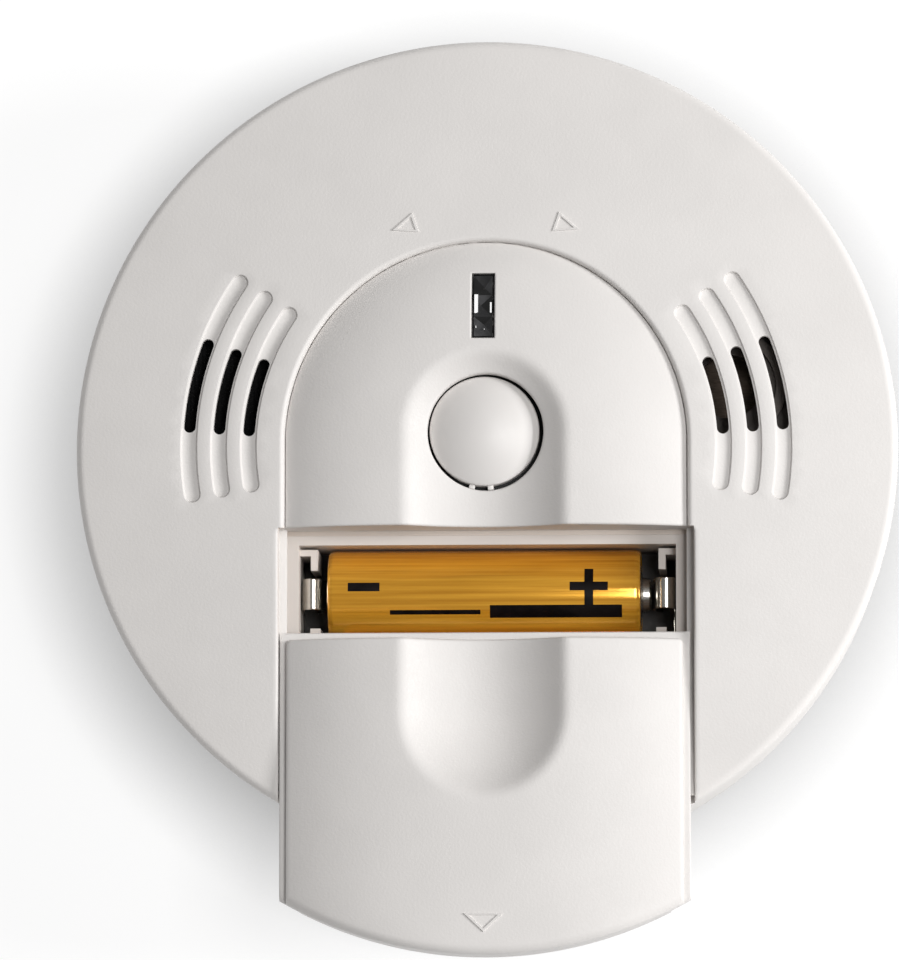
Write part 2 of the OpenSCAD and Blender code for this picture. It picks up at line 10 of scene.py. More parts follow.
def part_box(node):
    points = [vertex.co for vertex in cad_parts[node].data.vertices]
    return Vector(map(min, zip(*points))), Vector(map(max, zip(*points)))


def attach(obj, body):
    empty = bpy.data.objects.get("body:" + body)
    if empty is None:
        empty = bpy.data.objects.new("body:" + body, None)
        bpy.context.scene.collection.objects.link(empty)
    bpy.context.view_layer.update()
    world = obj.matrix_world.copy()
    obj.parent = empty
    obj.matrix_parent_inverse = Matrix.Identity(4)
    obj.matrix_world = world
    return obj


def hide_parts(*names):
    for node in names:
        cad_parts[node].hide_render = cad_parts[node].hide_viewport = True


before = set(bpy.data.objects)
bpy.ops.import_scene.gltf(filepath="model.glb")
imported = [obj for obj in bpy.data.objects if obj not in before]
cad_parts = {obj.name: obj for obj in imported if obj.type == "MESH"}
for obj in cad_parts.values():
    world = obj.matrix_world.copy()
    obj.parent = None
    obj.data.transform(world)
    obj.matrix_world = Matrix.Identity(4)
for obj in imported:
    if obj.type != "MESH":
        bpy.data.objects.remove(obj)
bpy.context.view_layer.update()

# Round smoke and carbon monoxide detector, lying on its back with the battery door half open.
# Shapes are worked out in millimetres in the frame of the CAD model, and become metres in add_piece.
MM = 0.001


def node_box(node):
    """Lowest and highest corner of a CAD node, in millimetres."""
    low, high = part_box(node)
    return low / MM, high / MM


# ---------- sizes shared with the CAD model ----------

COVER_LOW, COVER_HIGH = node_box("front_cover")
DOOR_HIGH = node_box("battery_door")[1]
WINDOW_LOW, WINDOW_HIGH = node_box("status_window")
BUTTON_LOW, BUTTON_HIGH = node_box("test_button")
SCREEN_LOW, SCREEN_HIGH = node_box("insect_screen")

COVER_R = COVER_HIGH.x + 0.45
SKIRT_Z = COVER_LOW.z
SKIRT_R = COVER_R - 0.8
SKIRT_STEPS = 504
NOTCH_Z = SKIRT_Z + 2.4
NOTCH_W = 1.9
NOTCH_TURNS = -40, -33.5, 33.5, 40
RIM_Z = 34
RIM_ROUND = 1.3
FACE_RISE = 3.5
WALL = 2
DOME_R = COVER_R - RIM_ROUND
SHELL_LOW_Z = 31.4

ARCH_HALF = 31.5
ARCH_Y = 0.8
PANEL_LOW_Y = -12.7
PANEL_EDGE_Z = 35.4
PANEL_RISE, PANEL_POWER = 4.15, 3.6
DOOR_RISE, DOOR_POWER = 4.5, 2.9
ARCH_ROLL = 0.9
ROLL_POWER = 2.6
CREASE_DEPTH = 0.4
CREASE_W = 0.12

SCOOP_FLOOR_Z = 35.27
SCOOP_LOW_Y = -25.6
SCOOP_R = 20.5
SCOOP_SLOPE = radians(36)
SCOOP_BLEND = 0.75
SCOOP_LINES = [11 + 0.65 * i for i in range(9)]
BUTTON_Y = (BUTTON_LOW.y + BUTTON_HIGH.y) / 2
BUTTON_R = 8.6
BUTTON_HOLE_R = BUTTON_R + 0.5
BUTTON_PLAY = -0.2, 0.2

CHANNEL_HALF = 32.5
CHANNEL_FLOOR_Z = 30.2
CHANNEL_LOW_Z = 28.4
LEDGE_HALF = 31.3
LEDGE_Z = 31.9
STOP_FROM = 29.8
CHANNEL_Y = -sqrt(COVER_R ** 2 - CHANNEL_HALF ** 2)
TRAY_LOW_Y = -47.3
# Heights in millimetres of the tray's painted shade: black below the first, its own white above the second.
PAINTED_SHADE_DARK_Z, PAINTED_SHADE_CLEAR_Z = 15, 20
BOSS_AT_R = 55
BOSS_LOW_Z = 11.8

DOOR_HALF = 31
DOOR_TOP_Y = -13
DOOR_SHIFT = DOOR_HIGH.y - DOOR_TOP_Y
DOOR_R = COVER_HIGH.x - 0.4
DOOR_PLAY = -0.25
FLANGE_HALF = DOOR_HIGH.x
FLANGE_W = 1.2
FLANGE_Z = 34.4
FLANGE_T = 1.2
DOOR_FOOT_Z = 30.6

VENT_R = 46.6
VENT_PITCH = 4.7
VENT_FROM, VENT_TO = -9, 34
SLOT_FROM, SLOT_TO = 4.2, 20.5
SLOT_HALF = 0.94
GROOVE_TOP_HALF = 1.38
GROOVE_FLOOR_HALF = 1.06
GROOVE_DEPTH = 0.52


# ---------- shapes as points and faces ----------

class Shape:
    """Points in millimetres and the faces between them, each with the number of its material."""

    def __init__(self):
        self.points = []
        self.faces = []
        self.slots = []

    def add(self, points, faces, slot=0):
        start = len(self.points)
        self.points += [tuple(p) for p in points]
        self.faces += [[start + i for i in face] for face in faces]
        self.slots += [slot] * len(faces)
        return self

    def moved(self, matrix):
        self.points = [tuple(matrix @ Vector(p)) for p in self.points]
        return self

    def join(self, other):
        self.add(other.points, other.faces)
        self.slots[-len(other.slots):] = other.slots
        return self


def add_piece(name, shape, body, nodes, materials, sharp=32):
    """Makes a piece of a shape, lets it ride on a body and stand for its CAD nodes."""
    mesh = bpy.data.meshes.new(name)
    mesh.from_pydata([(x * MM, y * MM, z * MM) for x, y, z in shape.points], [], shape.faces)
    for material in materials:
        mesh.materials.append(material)
    mesh.polygons.foreach_set("material_index", shape.slots)
    mesh.shade_smooth()
    mesh.set_sharp_from_angle(angle=radians(sharp))
    piece = bpy.data.objects.new(name, mesh)
    bpy.context.collection.objects.link(piece)
    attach(piece, body)
    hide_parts(*nodes)
    return piece


def block(low, high, radius=0.15, segments=2, slot=0):
    """Box between two corners, with rounded edges."""
    low, high = Vector(low), Vector(high)
    size = high - low
    mesh = bmesh.new()
    place = Matrix.Translation((low + high) / 2) @ Matrix.Diagonal(size).to_4x4()
    bmesh.ops.create_cube(mesh, size=1, matrix=place)
    offset = min(radius, 0.45 * min(size))
    bmesh.ops.bevel(mesh, geom=mesh.edges[:], offset=offset, segments=segments, profile=0.5, affect="EDGES")
    mesh.verts.index_update()
    shape = Shape().add([v.co for v in mesh.verts], [[v.index for v in f.verts] for f in mesh.faces], slot)
    mesh.free()
    return shape


def side_block(side, near_x, far_x, low, high, radius):
    """Block on one side of the middle, between two distances from it and two (y, z) corners."""
    low_x, high_x = sorted((side * near_x, side * far_x))
    return block((low_x, *low), (high_x, *high), radius)


def revolved(profile, steps):
    """Closed body that a profile of (radius, height) points sweeps round +Z. Its ends lie on the axis."""
    points = [(0, 0, profile[0][1])]
    for r, z in profile[1:-1]:
        points += turned(r, z, steps)
    last = len(points) - steps
    points.append((0, 0, profile[-1][1]))
    faces = []
    for i in range(steps):
        j = (i + 1) % steps
        faces += [[0, 1 + j, 1 + i], [last + i, last + j, len(points) - 1]]
    for start in range(1, last, steps):
        faces += band(start, start + steps, steps)
    return Shape().add(points, faces)


def turn_angles(steps):
    return [2 * pi * i / steps for i in range(steps)]


def turned(r, z, steps):
    """Points on a circle round +Z."""
    return [(r * cos(a), r * sin(a), z) for a in turn_angles(steps)]


def band(a, b, n):
    """Faces between two rings of n points that start at points a and b."""
    return [[a + i, a + (i + 1) % n, b + (i + 1) % n, b + i] for i in range(n)]


def tube_ring(profile, steps=96, slot=0):
    """Ring-shaped body that a closed profile of (radius, height) points sweeps round +Z."""
    points = [p for r, z in profile for p in turned(r, z, steps)]
    n = len(profile)
    faces = [face for k in range(n) for face in band(k * steps, (k + 1) % n * steps, steps)]
    return Shape().add(points, faces, slot)


def lofted(rings):
    """Closed body through rings of equally many points, with flat ends."""
    n = len(rings[0])
    points = [p for ring in rings for p in ring]
    faces = [list(range(n))[::-1], [len(points) - n + i for i in range(n)]]
    for k in range(len(rings) - 1):
        faces += band(k * n, (k + 1) * n, n)
    return Shape().add(points, faces)


def fillet(distance, radius):
    """How far a rounded edge has dropped at a distance inside it."""
    if distance >= radius:
        return 0
    reach = 1 - max(distance, 0) / radius
    return radius * (1 - sqrt(max(0, 1 - reach * reach)))


def smooth_step(x):
    x = min(max(x, 0), 1)
    return x * x * (3 - 2 * x)


# ---------- surfaces over a plan, with their feature lines ----------

def arc_points(radius, start, end, step, centre=(0, 0)):
    """Points along an arc between two angles in degrees, about a step apart."""
    count = max(2, ceil(abs(radians(end - start)) * radius / step))
    angles = [radians(start + (end - start) * i / count) for i in range(count + 1)]
    return [(centre[0] + radius * cos(a), centre[1] + radius * sin(a)) for a in angles]


def line_points(a, b, step):
    count = max(1, ceil(dist(a, b) / step))
    return [(a[0] + (b[0] - a[0]) * i / count, a[1] + (b[1] - a[1]) * i / count) for i in range(count + 1)]


def path(*stretches):
    """One line through several stretches, without doubled points."""
    points = []
    for stretch in stretches:
        for p in stretch:
            if not points or dist(points[-1], p) > 0.001:
                points.append(p)
    if dist(points[0], points[-1]) < 0.001:
        points.pop()
    return points


def grid_points(spacing, inside, reach=66):
    """Points on a staggered grid, where inside is true."""
    rows = int(reach / (spacing * 0.866))
    columns = int(reach / spacing)
    points = []
    for j in range(-rows - 12, rows + 1):
        for i in range(-columns, columns + 1):
            p = ((i + 0.5 * (j % 2)) * spacing, j * spacing * 0.866)
            if inside(*p):
                points.append(p)
    return points


def lookup(points):
    """Tree that finds the nearest of some plan points."""
    tree = KDTree(len(points))
    for i, p in enumerate(points):
        tree.insert((*p, 0), i)
    tree.balance()
    return tree


def triangles_over(loops, lines, grids, inside):
    """Plan points and triangles inside an area, with the loops and lines as edges.
    grids holds (spacing, points) pairs."""
    points, edges = [], []
    for line, closed in [(loop, True) for loop in loops] + [(line, False) for line in lines]:
        start = len(points)
        points += line
        edges += [(start + i, start + i + 1) for i in range(len(line) - 1)]
        if closed:
            edges.append((len(points) - 1, start))
    near = lookup(points)
    for spacing, grid in grids:
        points += [p for p in grid if near.find((*p, 0))[2] > 0.5 * spacing]
    flat, _, faces, _, _, _ = delaunay_2d_cdt([Vector(p) for p in points], edges, [], 0, 1e-4)
    kept = []
    for face in faces:
        x = sum(flat[i].x for i in face) / 3
        y = sum(flat[i].y for i in face) / 3
        if inside(x, y):
            kept.append(list(face))
    used = sorted({i for face in kept for i in face})
    number = {old: new for new, old in enumerate(used)}
    return [tuple(flat[i]) for i in used], [[number[i] for i in face] for face in kept]


def edge_loops(faces):
    """The loops of points along the free edges of some triangles."""
    free = set()
    for a, b, c in faces:
        for edge in ((a, b), (b, c), (c, a)):
            if (edge[1], edge[0]) in free:
                free.remove((edge[1], edge[0]))
            else:
                free.add(edge)
    after = dict(free)
    loops = []
    while after:
        start, point = after.popitem()
        loop = [start]
        while point != start:
            loop.append(point)
            point = after.pop(point)
        loops.append(loop)
    return loops


def sheet(loops, lines, grids, inside, top, under, under_lines, under_spacing=3.5):
    """Closed body between a top surface and an under surface over one plan.
    top and under give the height at (x, y)."""
    flat, faces = triangles_over(loops, lines, grids, inside)
    upper = [face if turns_left(flat, face) else face[::-1] for face in faces]
    rims = edge_loops(upper)
    points = [(x, y, top(x, y)) for x, y in flat]
    rim_flat = [[flat[i] for i in rim] for rim in rims]
    under_grid = [(under_spacing, grid_points(under_spacing, inside))]
    low_flat, low_faces = triangles_over(rim_flat, under_lines, under_grid, inside)
    low_start = len(points)
    points += [(x, y, under(x, y)) for x, y in low_flat]
    low_near = lookup(low_flat)
    all_faces = list(upper)
    for face in low_faces:
        ordered = face[::-1] if turns_left(low_flat, face) else face
        all_faces.append([low_start + i for i in ordered])
    for rim in rims:
        low = [low_start + low_near.find((*flat[i], 0))[1] for i in rim]
        for k in range(len(rim)):
            n = (k + 1) % len(rim)
            all_faces.append([rim[n], rim[k], low[k], low[n]])
    return Shape().add(points, all_faces)


def turns_left(flat, face):
    (ax, ay), (bx, by), (cx, cy) = [flat[i] for i in face]
    return (bx - ax) * (cy - ay) > (by - ay) * (cx - ax)


# ---------- the face, the arched panel and the scoop ----------

def dome_z(r):
    return RIM_Z + FACE_RISE * (1 - (r / DOME_R) ** 2)


def cushion_z(x, y):
    """The cushion over the panel and the closed door: round above the arch's centre, straight below."""
    across = hypot(x, max(0, y - ARCH_Y)) / ARCH_HALF
    if y > PANEL_LOW_Y:
        return PANEL_EDGE_Z + PANEL_RISE * (1 - across ** PANEL_POWER)
    return PANEL_EDGE_Z + DOOR_RISE * (1 - across ** DOOR_POWER)


def scoop_distance(x, y):
    return hypot(x, y - min(max(y, SCOOP_LOW_Y), BUTTON_Y))


def scoop_z(distance):
    """Round floor of the scoop that runs out into straight sloping sides."""
    turn = SCOOP_R * sin(SCOOP_SLOPE)
    if distance < turn:
        return SCOOP_FLOOR_Z + SCOOP_R - sqrt(SCOOP_R ** 2 - distance ** 2)
    floor_rise = SCOOP_R * (1 - cos(SCOOP_SLOPE))
    return SCOOP_FLOOR_Z + floor_rise + (distance - turn) * tan(SCOOP_SLOPE)


def blended_cushion_z(x, y):
    """Cushion with the scoop sunk into it, its rim softly rounded."""
    a = cushion_z(x, y)
    b = scoop_z(scoop_distance(x, y))
    overlap = max(SCOOP_BLEND - abs(a - b), 0) / SCOOP_BLEND
    return min(a, b) - overlap * overlap * SCOOP_BLEND / 4


def arch_distance(x, y):
    """Distance outside the arch's outline, negative inside it."""
    return (hypot(x, y - ARCH_Y) if y > ARCH_Y else abs(x)) - ARCH_HALF


def arch_line(half, low_y, top_y, turn=180):
    """Line up one side at half a width, round a half circle at top_y and down the other side.
    With a turn of -180 it is the same upside down."""
    return path(line_points((half, low_y), (half, top_y), 0.8),
                arc_points(half, 0, turn, 0.8, (0, top_y)),
                line_points((-half, top_y), (-half, low_y), 0.8))


def slot_line(r, half, start, end, side, step=0.4):
    """Outline round an arc-shaped slot with round ends."""
    ends = [(r * cos(radians(a)), r * sin(radians(a))) for a in (start, end)]
    points = path(arc_points(r + half, start, end, step),
                  arc_points(half, end, end + 180, step / 2, ends[1]),
                  arc_points(r - half, end, start, step),
                  arc_points(half, start + 180, start + 360, step / 2, ends[0]))
    return [(side * x, y) for x, y in points]


def arc_distance(x, y, r, start, end):
    """Distance from an arc between two angles in degrees."""
    angle = degrees(atan2(y, x))
    if start <= angle <= end:
        return abs(hypot(x, y) - r)
    a = radians(start if angle < start else end)
    return hypot(x - r * cos(a), y - r * sin(a))


VENTS = [VENT_R - i * VENT_PITCH for i in range(3)]


def groove_drop(x, y):
    """Depth of the vent grooves: steep drafted walls and a slightly hollow floor."""
    x = abs(x)
    if not 34 < hypot(x, y) < 50:
        return 0
    off = min(arc_distance(x, y, r, VENT_FROM, VENT_TO) for r in VENTS)
    if off >= GROOVE_TOP_HALF:
        return 0
    if off > GROOVE_FLOOR_HALF:
        return GROOVE_DEPTH * smooth_step((GROOVE_TOP_HALF - off) / (GROOVE_TOP_HALF - GROOVE_FLOOR_HALF))
    return GROOVE_DEPTH + 0.09 * (1 - (off / GROOVE_FLOOR_HALF) ** 2)


def in_slot(x, y):
    return any(arc_distance(abs(x), y, r, SLOT_FROM, SLOT_TO) < SLOT_HALF for r in VENTS)


WINDOW_GAP = 0.1
WINDOW_ROUND = 0.25
WINDOW_HALF = (WINDOW_HIGH - WINDOW_LOW) / 2 + Vector((WINDOW_GAP, WINDOW_GAP + 0.05, 0))
WINDOW_AT = (WINDOW_HIGH + WINDOW_LOW) / 2 - Vector((0, 0.2, 0))


def window_distance(x, y):
    dx = abs(x - WINDOW_AT.x) - WINDOW_HALF.x
    dy = abs(y - WINDOW_AT.y) - WINDOW_HALF.y
    return max(dx, dy) if min(dx, dy) < 0 else hypot(dx, dy)


def window_line(offset):
    w, h = WINDOW_HALF.x + offset, WINDOW_HALF.y + offset
    corners = [(-w, -h), (w, -h), (w, h), (-w, h)]
    sides = [line_points(corners[i - 1], corners[i], 0.5) for i in range(4)]
    return [(x + WINDOW_AT.x, y + WINDOW_AT.y) for x, y in path(*sides)]


def in_cover(x, y):
    if x * x + y * y > COVER_R ** 2 or (abs(x) < CHANNEL_HALF and y < PANEL_LOW_Y):
        return False
    if hypot(x, y - BUTTON_Y) < BUTTON_HOLE_R or window_distance(x, y) < 0:
        return False
    return not in_slot(x, y)


def face_z(x, y):
    """Domed face with its rounded rim, vent grooves and rolled edges."""
    r = hypot(x, y)
    z = dome_z(min(r, DOME_R))
    z -= fillet(COVER_R - r, RIM_ROUND)
    z -= groove_drop(x, y)
    roll = arch_distance(x, y) / ARCH_ROLL
    arch_drop = 0
    if 0 <= roll < 1:
        reach = 1 - (1 - (1 - roll) ** ROLL_POWER) ** (1 / ROLL_POWER)
        arch_drop = (z - PANEL_EDGE_Z + CREASE_DEPTH) * reach
    channel_drop = fillet(abs(x) - CHANNEL_HALF, 0.45)
    below = smooth_step((PANEL_LOW_Y - y) / 0.8)
    return z - arch_drop * (1 - below) - channel_drop * below


def panel_z(x, y):
    """Arched panel with its scoop, rounded at its edges and holes."""
    z = blended_cushion_z(x, y)
    z -= fillet(-arch_distance(x, y), 0.35)
    z -= CREASE_DEPTH * max(0, 1 + arch_distance(x, y) / CREASE_W)
    z -= fillet(y - PANEL_LOW_Y, 0.4)
    z -= fillet(hypot(x, y - BUTTON_Y) - BUTTON_HOLE_R, 0.3)
    z -= fillet(window_distance(x, y), WINDOW_ROUND)
    return z


def cover_top(x, y):
    return panel_z(x, y) if arch_distance(x, y) <= 0 else face_z(x, y)


def cover_under(x, y):
    """Inside of the cover, with the channel's side walls and the wall above the battery bay."""
    r = hypot(x, y)
    if r > COVER_R - WALL:
        return SHELL_LOW_Z
    if y < PANEL_LOW_Y + WALL and abs(x) < CHANNEL_HALF + WALL:
        return CHANNEL_LOW_Z
    if arch_distance(x, y) < 0:
        return blended_cushion_z(x, y) - WALL
    return dome_z(r) - WALL


def cover_outline():
    start = degrees(asin(CHANNEL_Y / COVER_R))
    return path(arc_points(COVER_R, start, 180 - start, 0.8),
                line_points((-CHANNEL_HALF, CHANNEL_Y), (-CHANNEL_HALF, PANEL_LOW_Y), 0.8),
                line_points((-CHANNEL_HALF, PANEL_LOW_Y), (CHANNEL_HALF, PANEL_LOW_Y), 0.6),
                line_points((CHANNEL_HALF, PANEL_LOW_Y), (CHANNEL_HALF, CHANNEL_Y), 0.8))


def cover_shell():
    loops = [cover_outline(), arc_points(BUTTON_HOLE_R, 0, 360, 0.45, (0, BUTTON_Y))[:-1], window_line(0)]
    lines = []
    for side in (1, -1):
        for r in VENTS:
            loops.append(slot_line(r, SLOT_HALF, SLOT_FROM, SLOT_TO, side))
            for half in (1.41, 1.35, 1.3, 1.25, 1.2, 1.15, 1.1, 1.04):
                groove = slot_line(r, half, VENT_FROM, VENT_TO, side)
                lines.append(groove + groove[:1])
            lines.append([(side * x, y) for x, y in arc_points(r, VENT_FROM, SLOT_FROM - 2.2, 0.5)])
            lines.append([(side * x, y) for x, y in arc_points(r, SLOT_TO + 2.2, VENT_TO, 0.5)])
        for off in (0.05, 0.13, 0.25, 0.45, 0.9):
            x = side * (CHANNEL_HALF + off)
            lines.append(line_points((x, PANEL_LOW_Y - 0.05), (x, CHANNEL_Y + 0.3), 0.8))
    for tilt in (0, 15, 30, 45, 60, 72, 82):
        r = DOME_R + RIM_ROUND * sin(radians(tilt))
        start = degrees(asin(CHANNEL_Y / COVER_R))
        lines.append(arc_points(r, start, 180 - start, 0.9))
    for off in (-1.2, -0.36, -0.22, -0.12, -0.05, 0, 0.02, 0.06, 0.12, 0.2, 0.3, 0.43, 0.58, 0.75, 0.92, 1.6):
        lines.append(arch_line(ARCH_HALF + off, PANEL_LOW_Y - 0.3, ARCH_Y))
    lines += [arch_line(half, PANEL_LOW_Y - 0.3, BUTTON_Y) for half in SCOOP_LINES]
    for off in (0.04, 0.12, 0.25, 0.4, 0.8):
        y = PANEL_LOW_Y + off
        lines.append(line_points((-ARCH_HALF, y), (ARCH_HALF, y), 0.6))
    for off in (0.04, 0.1, 0.2, 0.3, 0.7):
        hole = arc_points(BUTTON_HOLE_R + off, 0, 360, 0.45, (0, BUTTON_Y))
        lines.append(hole)
        window = window_line(min(off, WINDOW_ROUND * 2))
        lines.append(window + window[:1])
    grids = [(1.7, grid_points(1.7, lambda x, y: arch_distance(x, y) > 0.5 and in_cover(x, y))),
             (0.9, grid_points(0.9, lambda x, y: arch_distance(x, y) < 0 and in_cover(x, y)))]
    inner = CHANNEL_HALF + WALL
    under_lines = [path(line_points((-inner, CHANNEL_Y), (-inner, PANEL_LOW_Y + WALL), 3),
                        line_points((-inner, PANEL_LOW_Y + WALL), (inner, PANEL_LOW_Y + WALL), 3),
                        line_points((inner, PANEL_LOW_Y + WALL), (inner, CHANNEL_Y), 3)),
                   arc_points(COVER_R - WALL, -58, 238, 2)]
    return sheet(loops, lines, grids, in_cover, cover_top, cover_under, under_lines)


def skirt_r(z):
    """Outer radius of the slightly tapered side wall."""
    return SKIRT_R + (COVER_R - SKIRT_R) * (z - SKIRT_Z) / (SHELL_LOW_Z - SKIRT_Z)


def arc_wall(section, span, step=0.8):
    """Closed wall that a section of (radius, height) points sweeps.
    span gives its two end angles at a radius."""
    start, end = span(SKIRT_R)
    count = ceil((end - start) * SKIRT_R / step)
    rings = []
    for i in range(count + 1):
        ring = []
        for r, z in section:
            start, end = span(r)
            a = start + (end - start) * i / count
            ring.append((r * cos(a), r * sin(a), z))
        rings.append(ring)
    return lofted(rings)


def beside_channel(r):
    """End angles of a wall that stops flush with both sides of the channel."""
    half = asin((CHANNEL_HALF + 0.02) / r)
    return half - pi / 2, 3 * pi / 2 - half


def wall_section(low, high):
    low_r, high_r = skirt_r(low), skirt_r(high)
    return [(low_r, low), (high_r, high), (high_r - WALL, high), (low_r - WALL, low)]


def skirt():
    """Side wall of the cover. A ring stops just under the channel's floor, a wall beside the channel
    meets the shell above it, and notches part the rounded lower edge."""
    ring_top_z = CHANNEL_FLOOR_Z - 0.05
    shape = tube_ring(wall_section(NOTCH_Z, ring_top_z), SKIRT_STEPS)
    shape.join(arc_wall(wall_section(ring_top_z, SHELL_LOW_Z), beside_channel))
    out, back, low = SKIRT_R, SKIRT_R - WALL, SKIRT_Z
    foot = [(skirt_r(NOTCH_Z), NOTCH_Z), (out, low + 0.5), (out - 0.1, low + 0.17), (out - 0.4, low),
            (back + 0.2, low), (back, low + 0.2), (skirt_r(NOTCH_Z) - WALL, NOTCH_Z)]
    notch_half = NOTCH_W / 2 / SKIRT_R
    notches = sorted(radians(middle + turn) for middle in (-90, 90) for turn in NOTCH_TURNS)
    for notch, after in zip(notches, notches[1:] + [notches[0] + 2 * pi]):
        shape.join(arc_wall(foot, lambda r: (notch + notch_half, after - notch_half)))
    return shape


def prism(outline, low, high):
    """Straight body over an outline, between two heights."""
    return lofted([[(x, y, z) for x, y in outline] for z in (low, high)])


def arrow_frame(length, width, border, place):
    """Outline of a triangle that points along +X, as three thin ridges with chamfered tops."""
    outer = [(-length / 2, -width / 2), (length / 2, 0), (-length / 2, width / 2)]
    centre_x = -length / 6
    section = [(0, -0.6), (0, 0.12), (0.12, 0.22), (0.88, 0.22), (1, 0.12), (1, -0.6)]
    points, faces = [], []
    for across, z in section:
        inward = across * border
        points += [(x + (centre_x - x) * inward, y * (1 - inward), z) for x, y in outer]
    for k in range(len(section)):
        faces += band(3 * k, (k + 1) % len(section) * 3, 3)
    return Shape().add(points, faces).moved(place)


def face_arrow(side):
    """Raised arrow on the face that follows the turning direction."""
    at = Vector((side * 12.8, 34.7, 0))
    at.z = dome_z(hypot(at.x, at.y))
    tilt = Matrix.Rotation(2 * FACE_RISE * at.y / DOME_R ** 2, 4, "X").inverted()
    turn = Matrix.Rotation(radians(-19 if side > 0 else 199), 4, "Z")
    return arrow_frame(3.9, 3.3, 0.34, Matrix.Translation(at) @ tilt @ turn)


def cover_shape():
    """Shell, skirt, the door's rails and stops, the strip above the bay, the channel's floor and bosses."""
    shape = cover_shell().join(skirt())
    for side in (1, -1):
        shape.join(side_block(side, LEDGE_HALF, CHANNEL_HALF + 0.2, (-54.6, LEDGE_Z),
                              (PANEL_LOW_Y + 0.3, LEDGE_Z + 1), 0.12))
        shape.join(side_block(side, STOP_FROM, 31.2, (-56.5, CHANNEL_FLOOR_Z - 0.3),
                              (-55.3, CHANNEL_FLOOR_Z + 1), 0.2))
        shape.join(face_arrow(side))
    strip_low = (-32.4, PANEL_LOW_Y - 0.75, 29.7)
    strip_high = (32.4, PANEL_LOW_Y + 0.1, CHANNEL_FLOOR_Z + 0.08)
    shape.join(block(strip_low, strip_high, 0.1, slot=1))
    floor_half = CHANNEL_HALF + WALL
    floor_r = COVER_R - 0.15
    start = degrees(acos(floor_half / floor_r))
    floor = path(arc_points(floor_r, -180 + start, -start, 1),
                 [(floor_half, TRAY_LOW_Y - 0.3), (-floor_half, TRAY_LOW_Y - 0.3)])
    shape.join(prism(floor, CHANNEL_LOW_Z, CHANNEL_FLOOR_Z))
    boss_high = dome_z(BOSS_AT_R) - 1.9
    for turn in (90, 225, 315):
        boss = tube_ring([(1.3, BOSS_LOW_Z), (3.2, BOSS_LOW_Z), (3.2, boss_high), (1.3, boss_high)], 32)
        a = radians(turn)
        shape.join(boss.moved(Matrix.Translation((BOSS_AT_R * cos(a), BOSS_AT_R * sin(a), 0))))
    return shape


# ---------- battery door, in its closed place ----------

DOOR_FRONT_Y = DOOR_TOP_Y - FLANGE_W
DOOR_END_HALF = 29
DOOR_ARROW_Y = -58.7


def corner_distance(x, y, half, top_y, corner):
    """Distance inside the sides and the top of the door, round its corners."""
    dx, dy = half - abs(x), top_y - y
    if dx < corner and dy < corner:
        return corner - hypot(corner - dx, corner - dy)
    return min(dx, dy)


def door_top(x, y):
    inside_front = corner_distance(x, y, DOOR_HALF, DOOR_FRONT_Y, 0.8)
    if inside_front > 0:
        z = blended_cushion_z(x, y) - fillet(inside_front, 0.4)
    else:
        z = FLANGE_Z - fillet(corner_distance(x, y, FLANGE_HALF, DOOR_TOP_Y, 0.3), 0.2)
    to_rim = DOOR_R - hypot(x, y)
    depth = min(1.4, z - FLANGE_Z + 0.9)
    return z - depth / 1.4 * fillet(to_rim, 1.4)


def door_under(x, y):
    if hypot(x, y) > DOOR_R - WALL and abs(x) < DOOR_END_HALF:
        return DOOR_FOOT_Z
    if corner_distance(x, y, DOOR_HALF - WALL, DOOR_FRONT_Y - WALL, 0.8) > 0:
        return blended_cushion_z(x, y) - WALL
    return FLANGE_Z - FLANGE_T


def in_door(x, y):
    return abs(x) < FLANGE_HALF and y < DOOR_TOP_Y and hypot(x, y) < DOOR_R


def door_side_line(offset, corner, step=0.8):
    """Line at an offset outside the door's front, up one side, over the top and down the other."""
    half, top = DOOR_HALF + offset, DOOR_FRONT_Y + offset
    turn = corner + offset
    x, y = half - turn, top - turn
    return path(line_points((half, -58), (half, y), step), arc_points(turn, 0, 90, 0.15, (x, y)),
                line_points((x, top), (-x, top), 0.6), arc_points(turn, 90, 180, 0.15, (-x, y)),
                line_points((-half, y), (-half, -58), step))


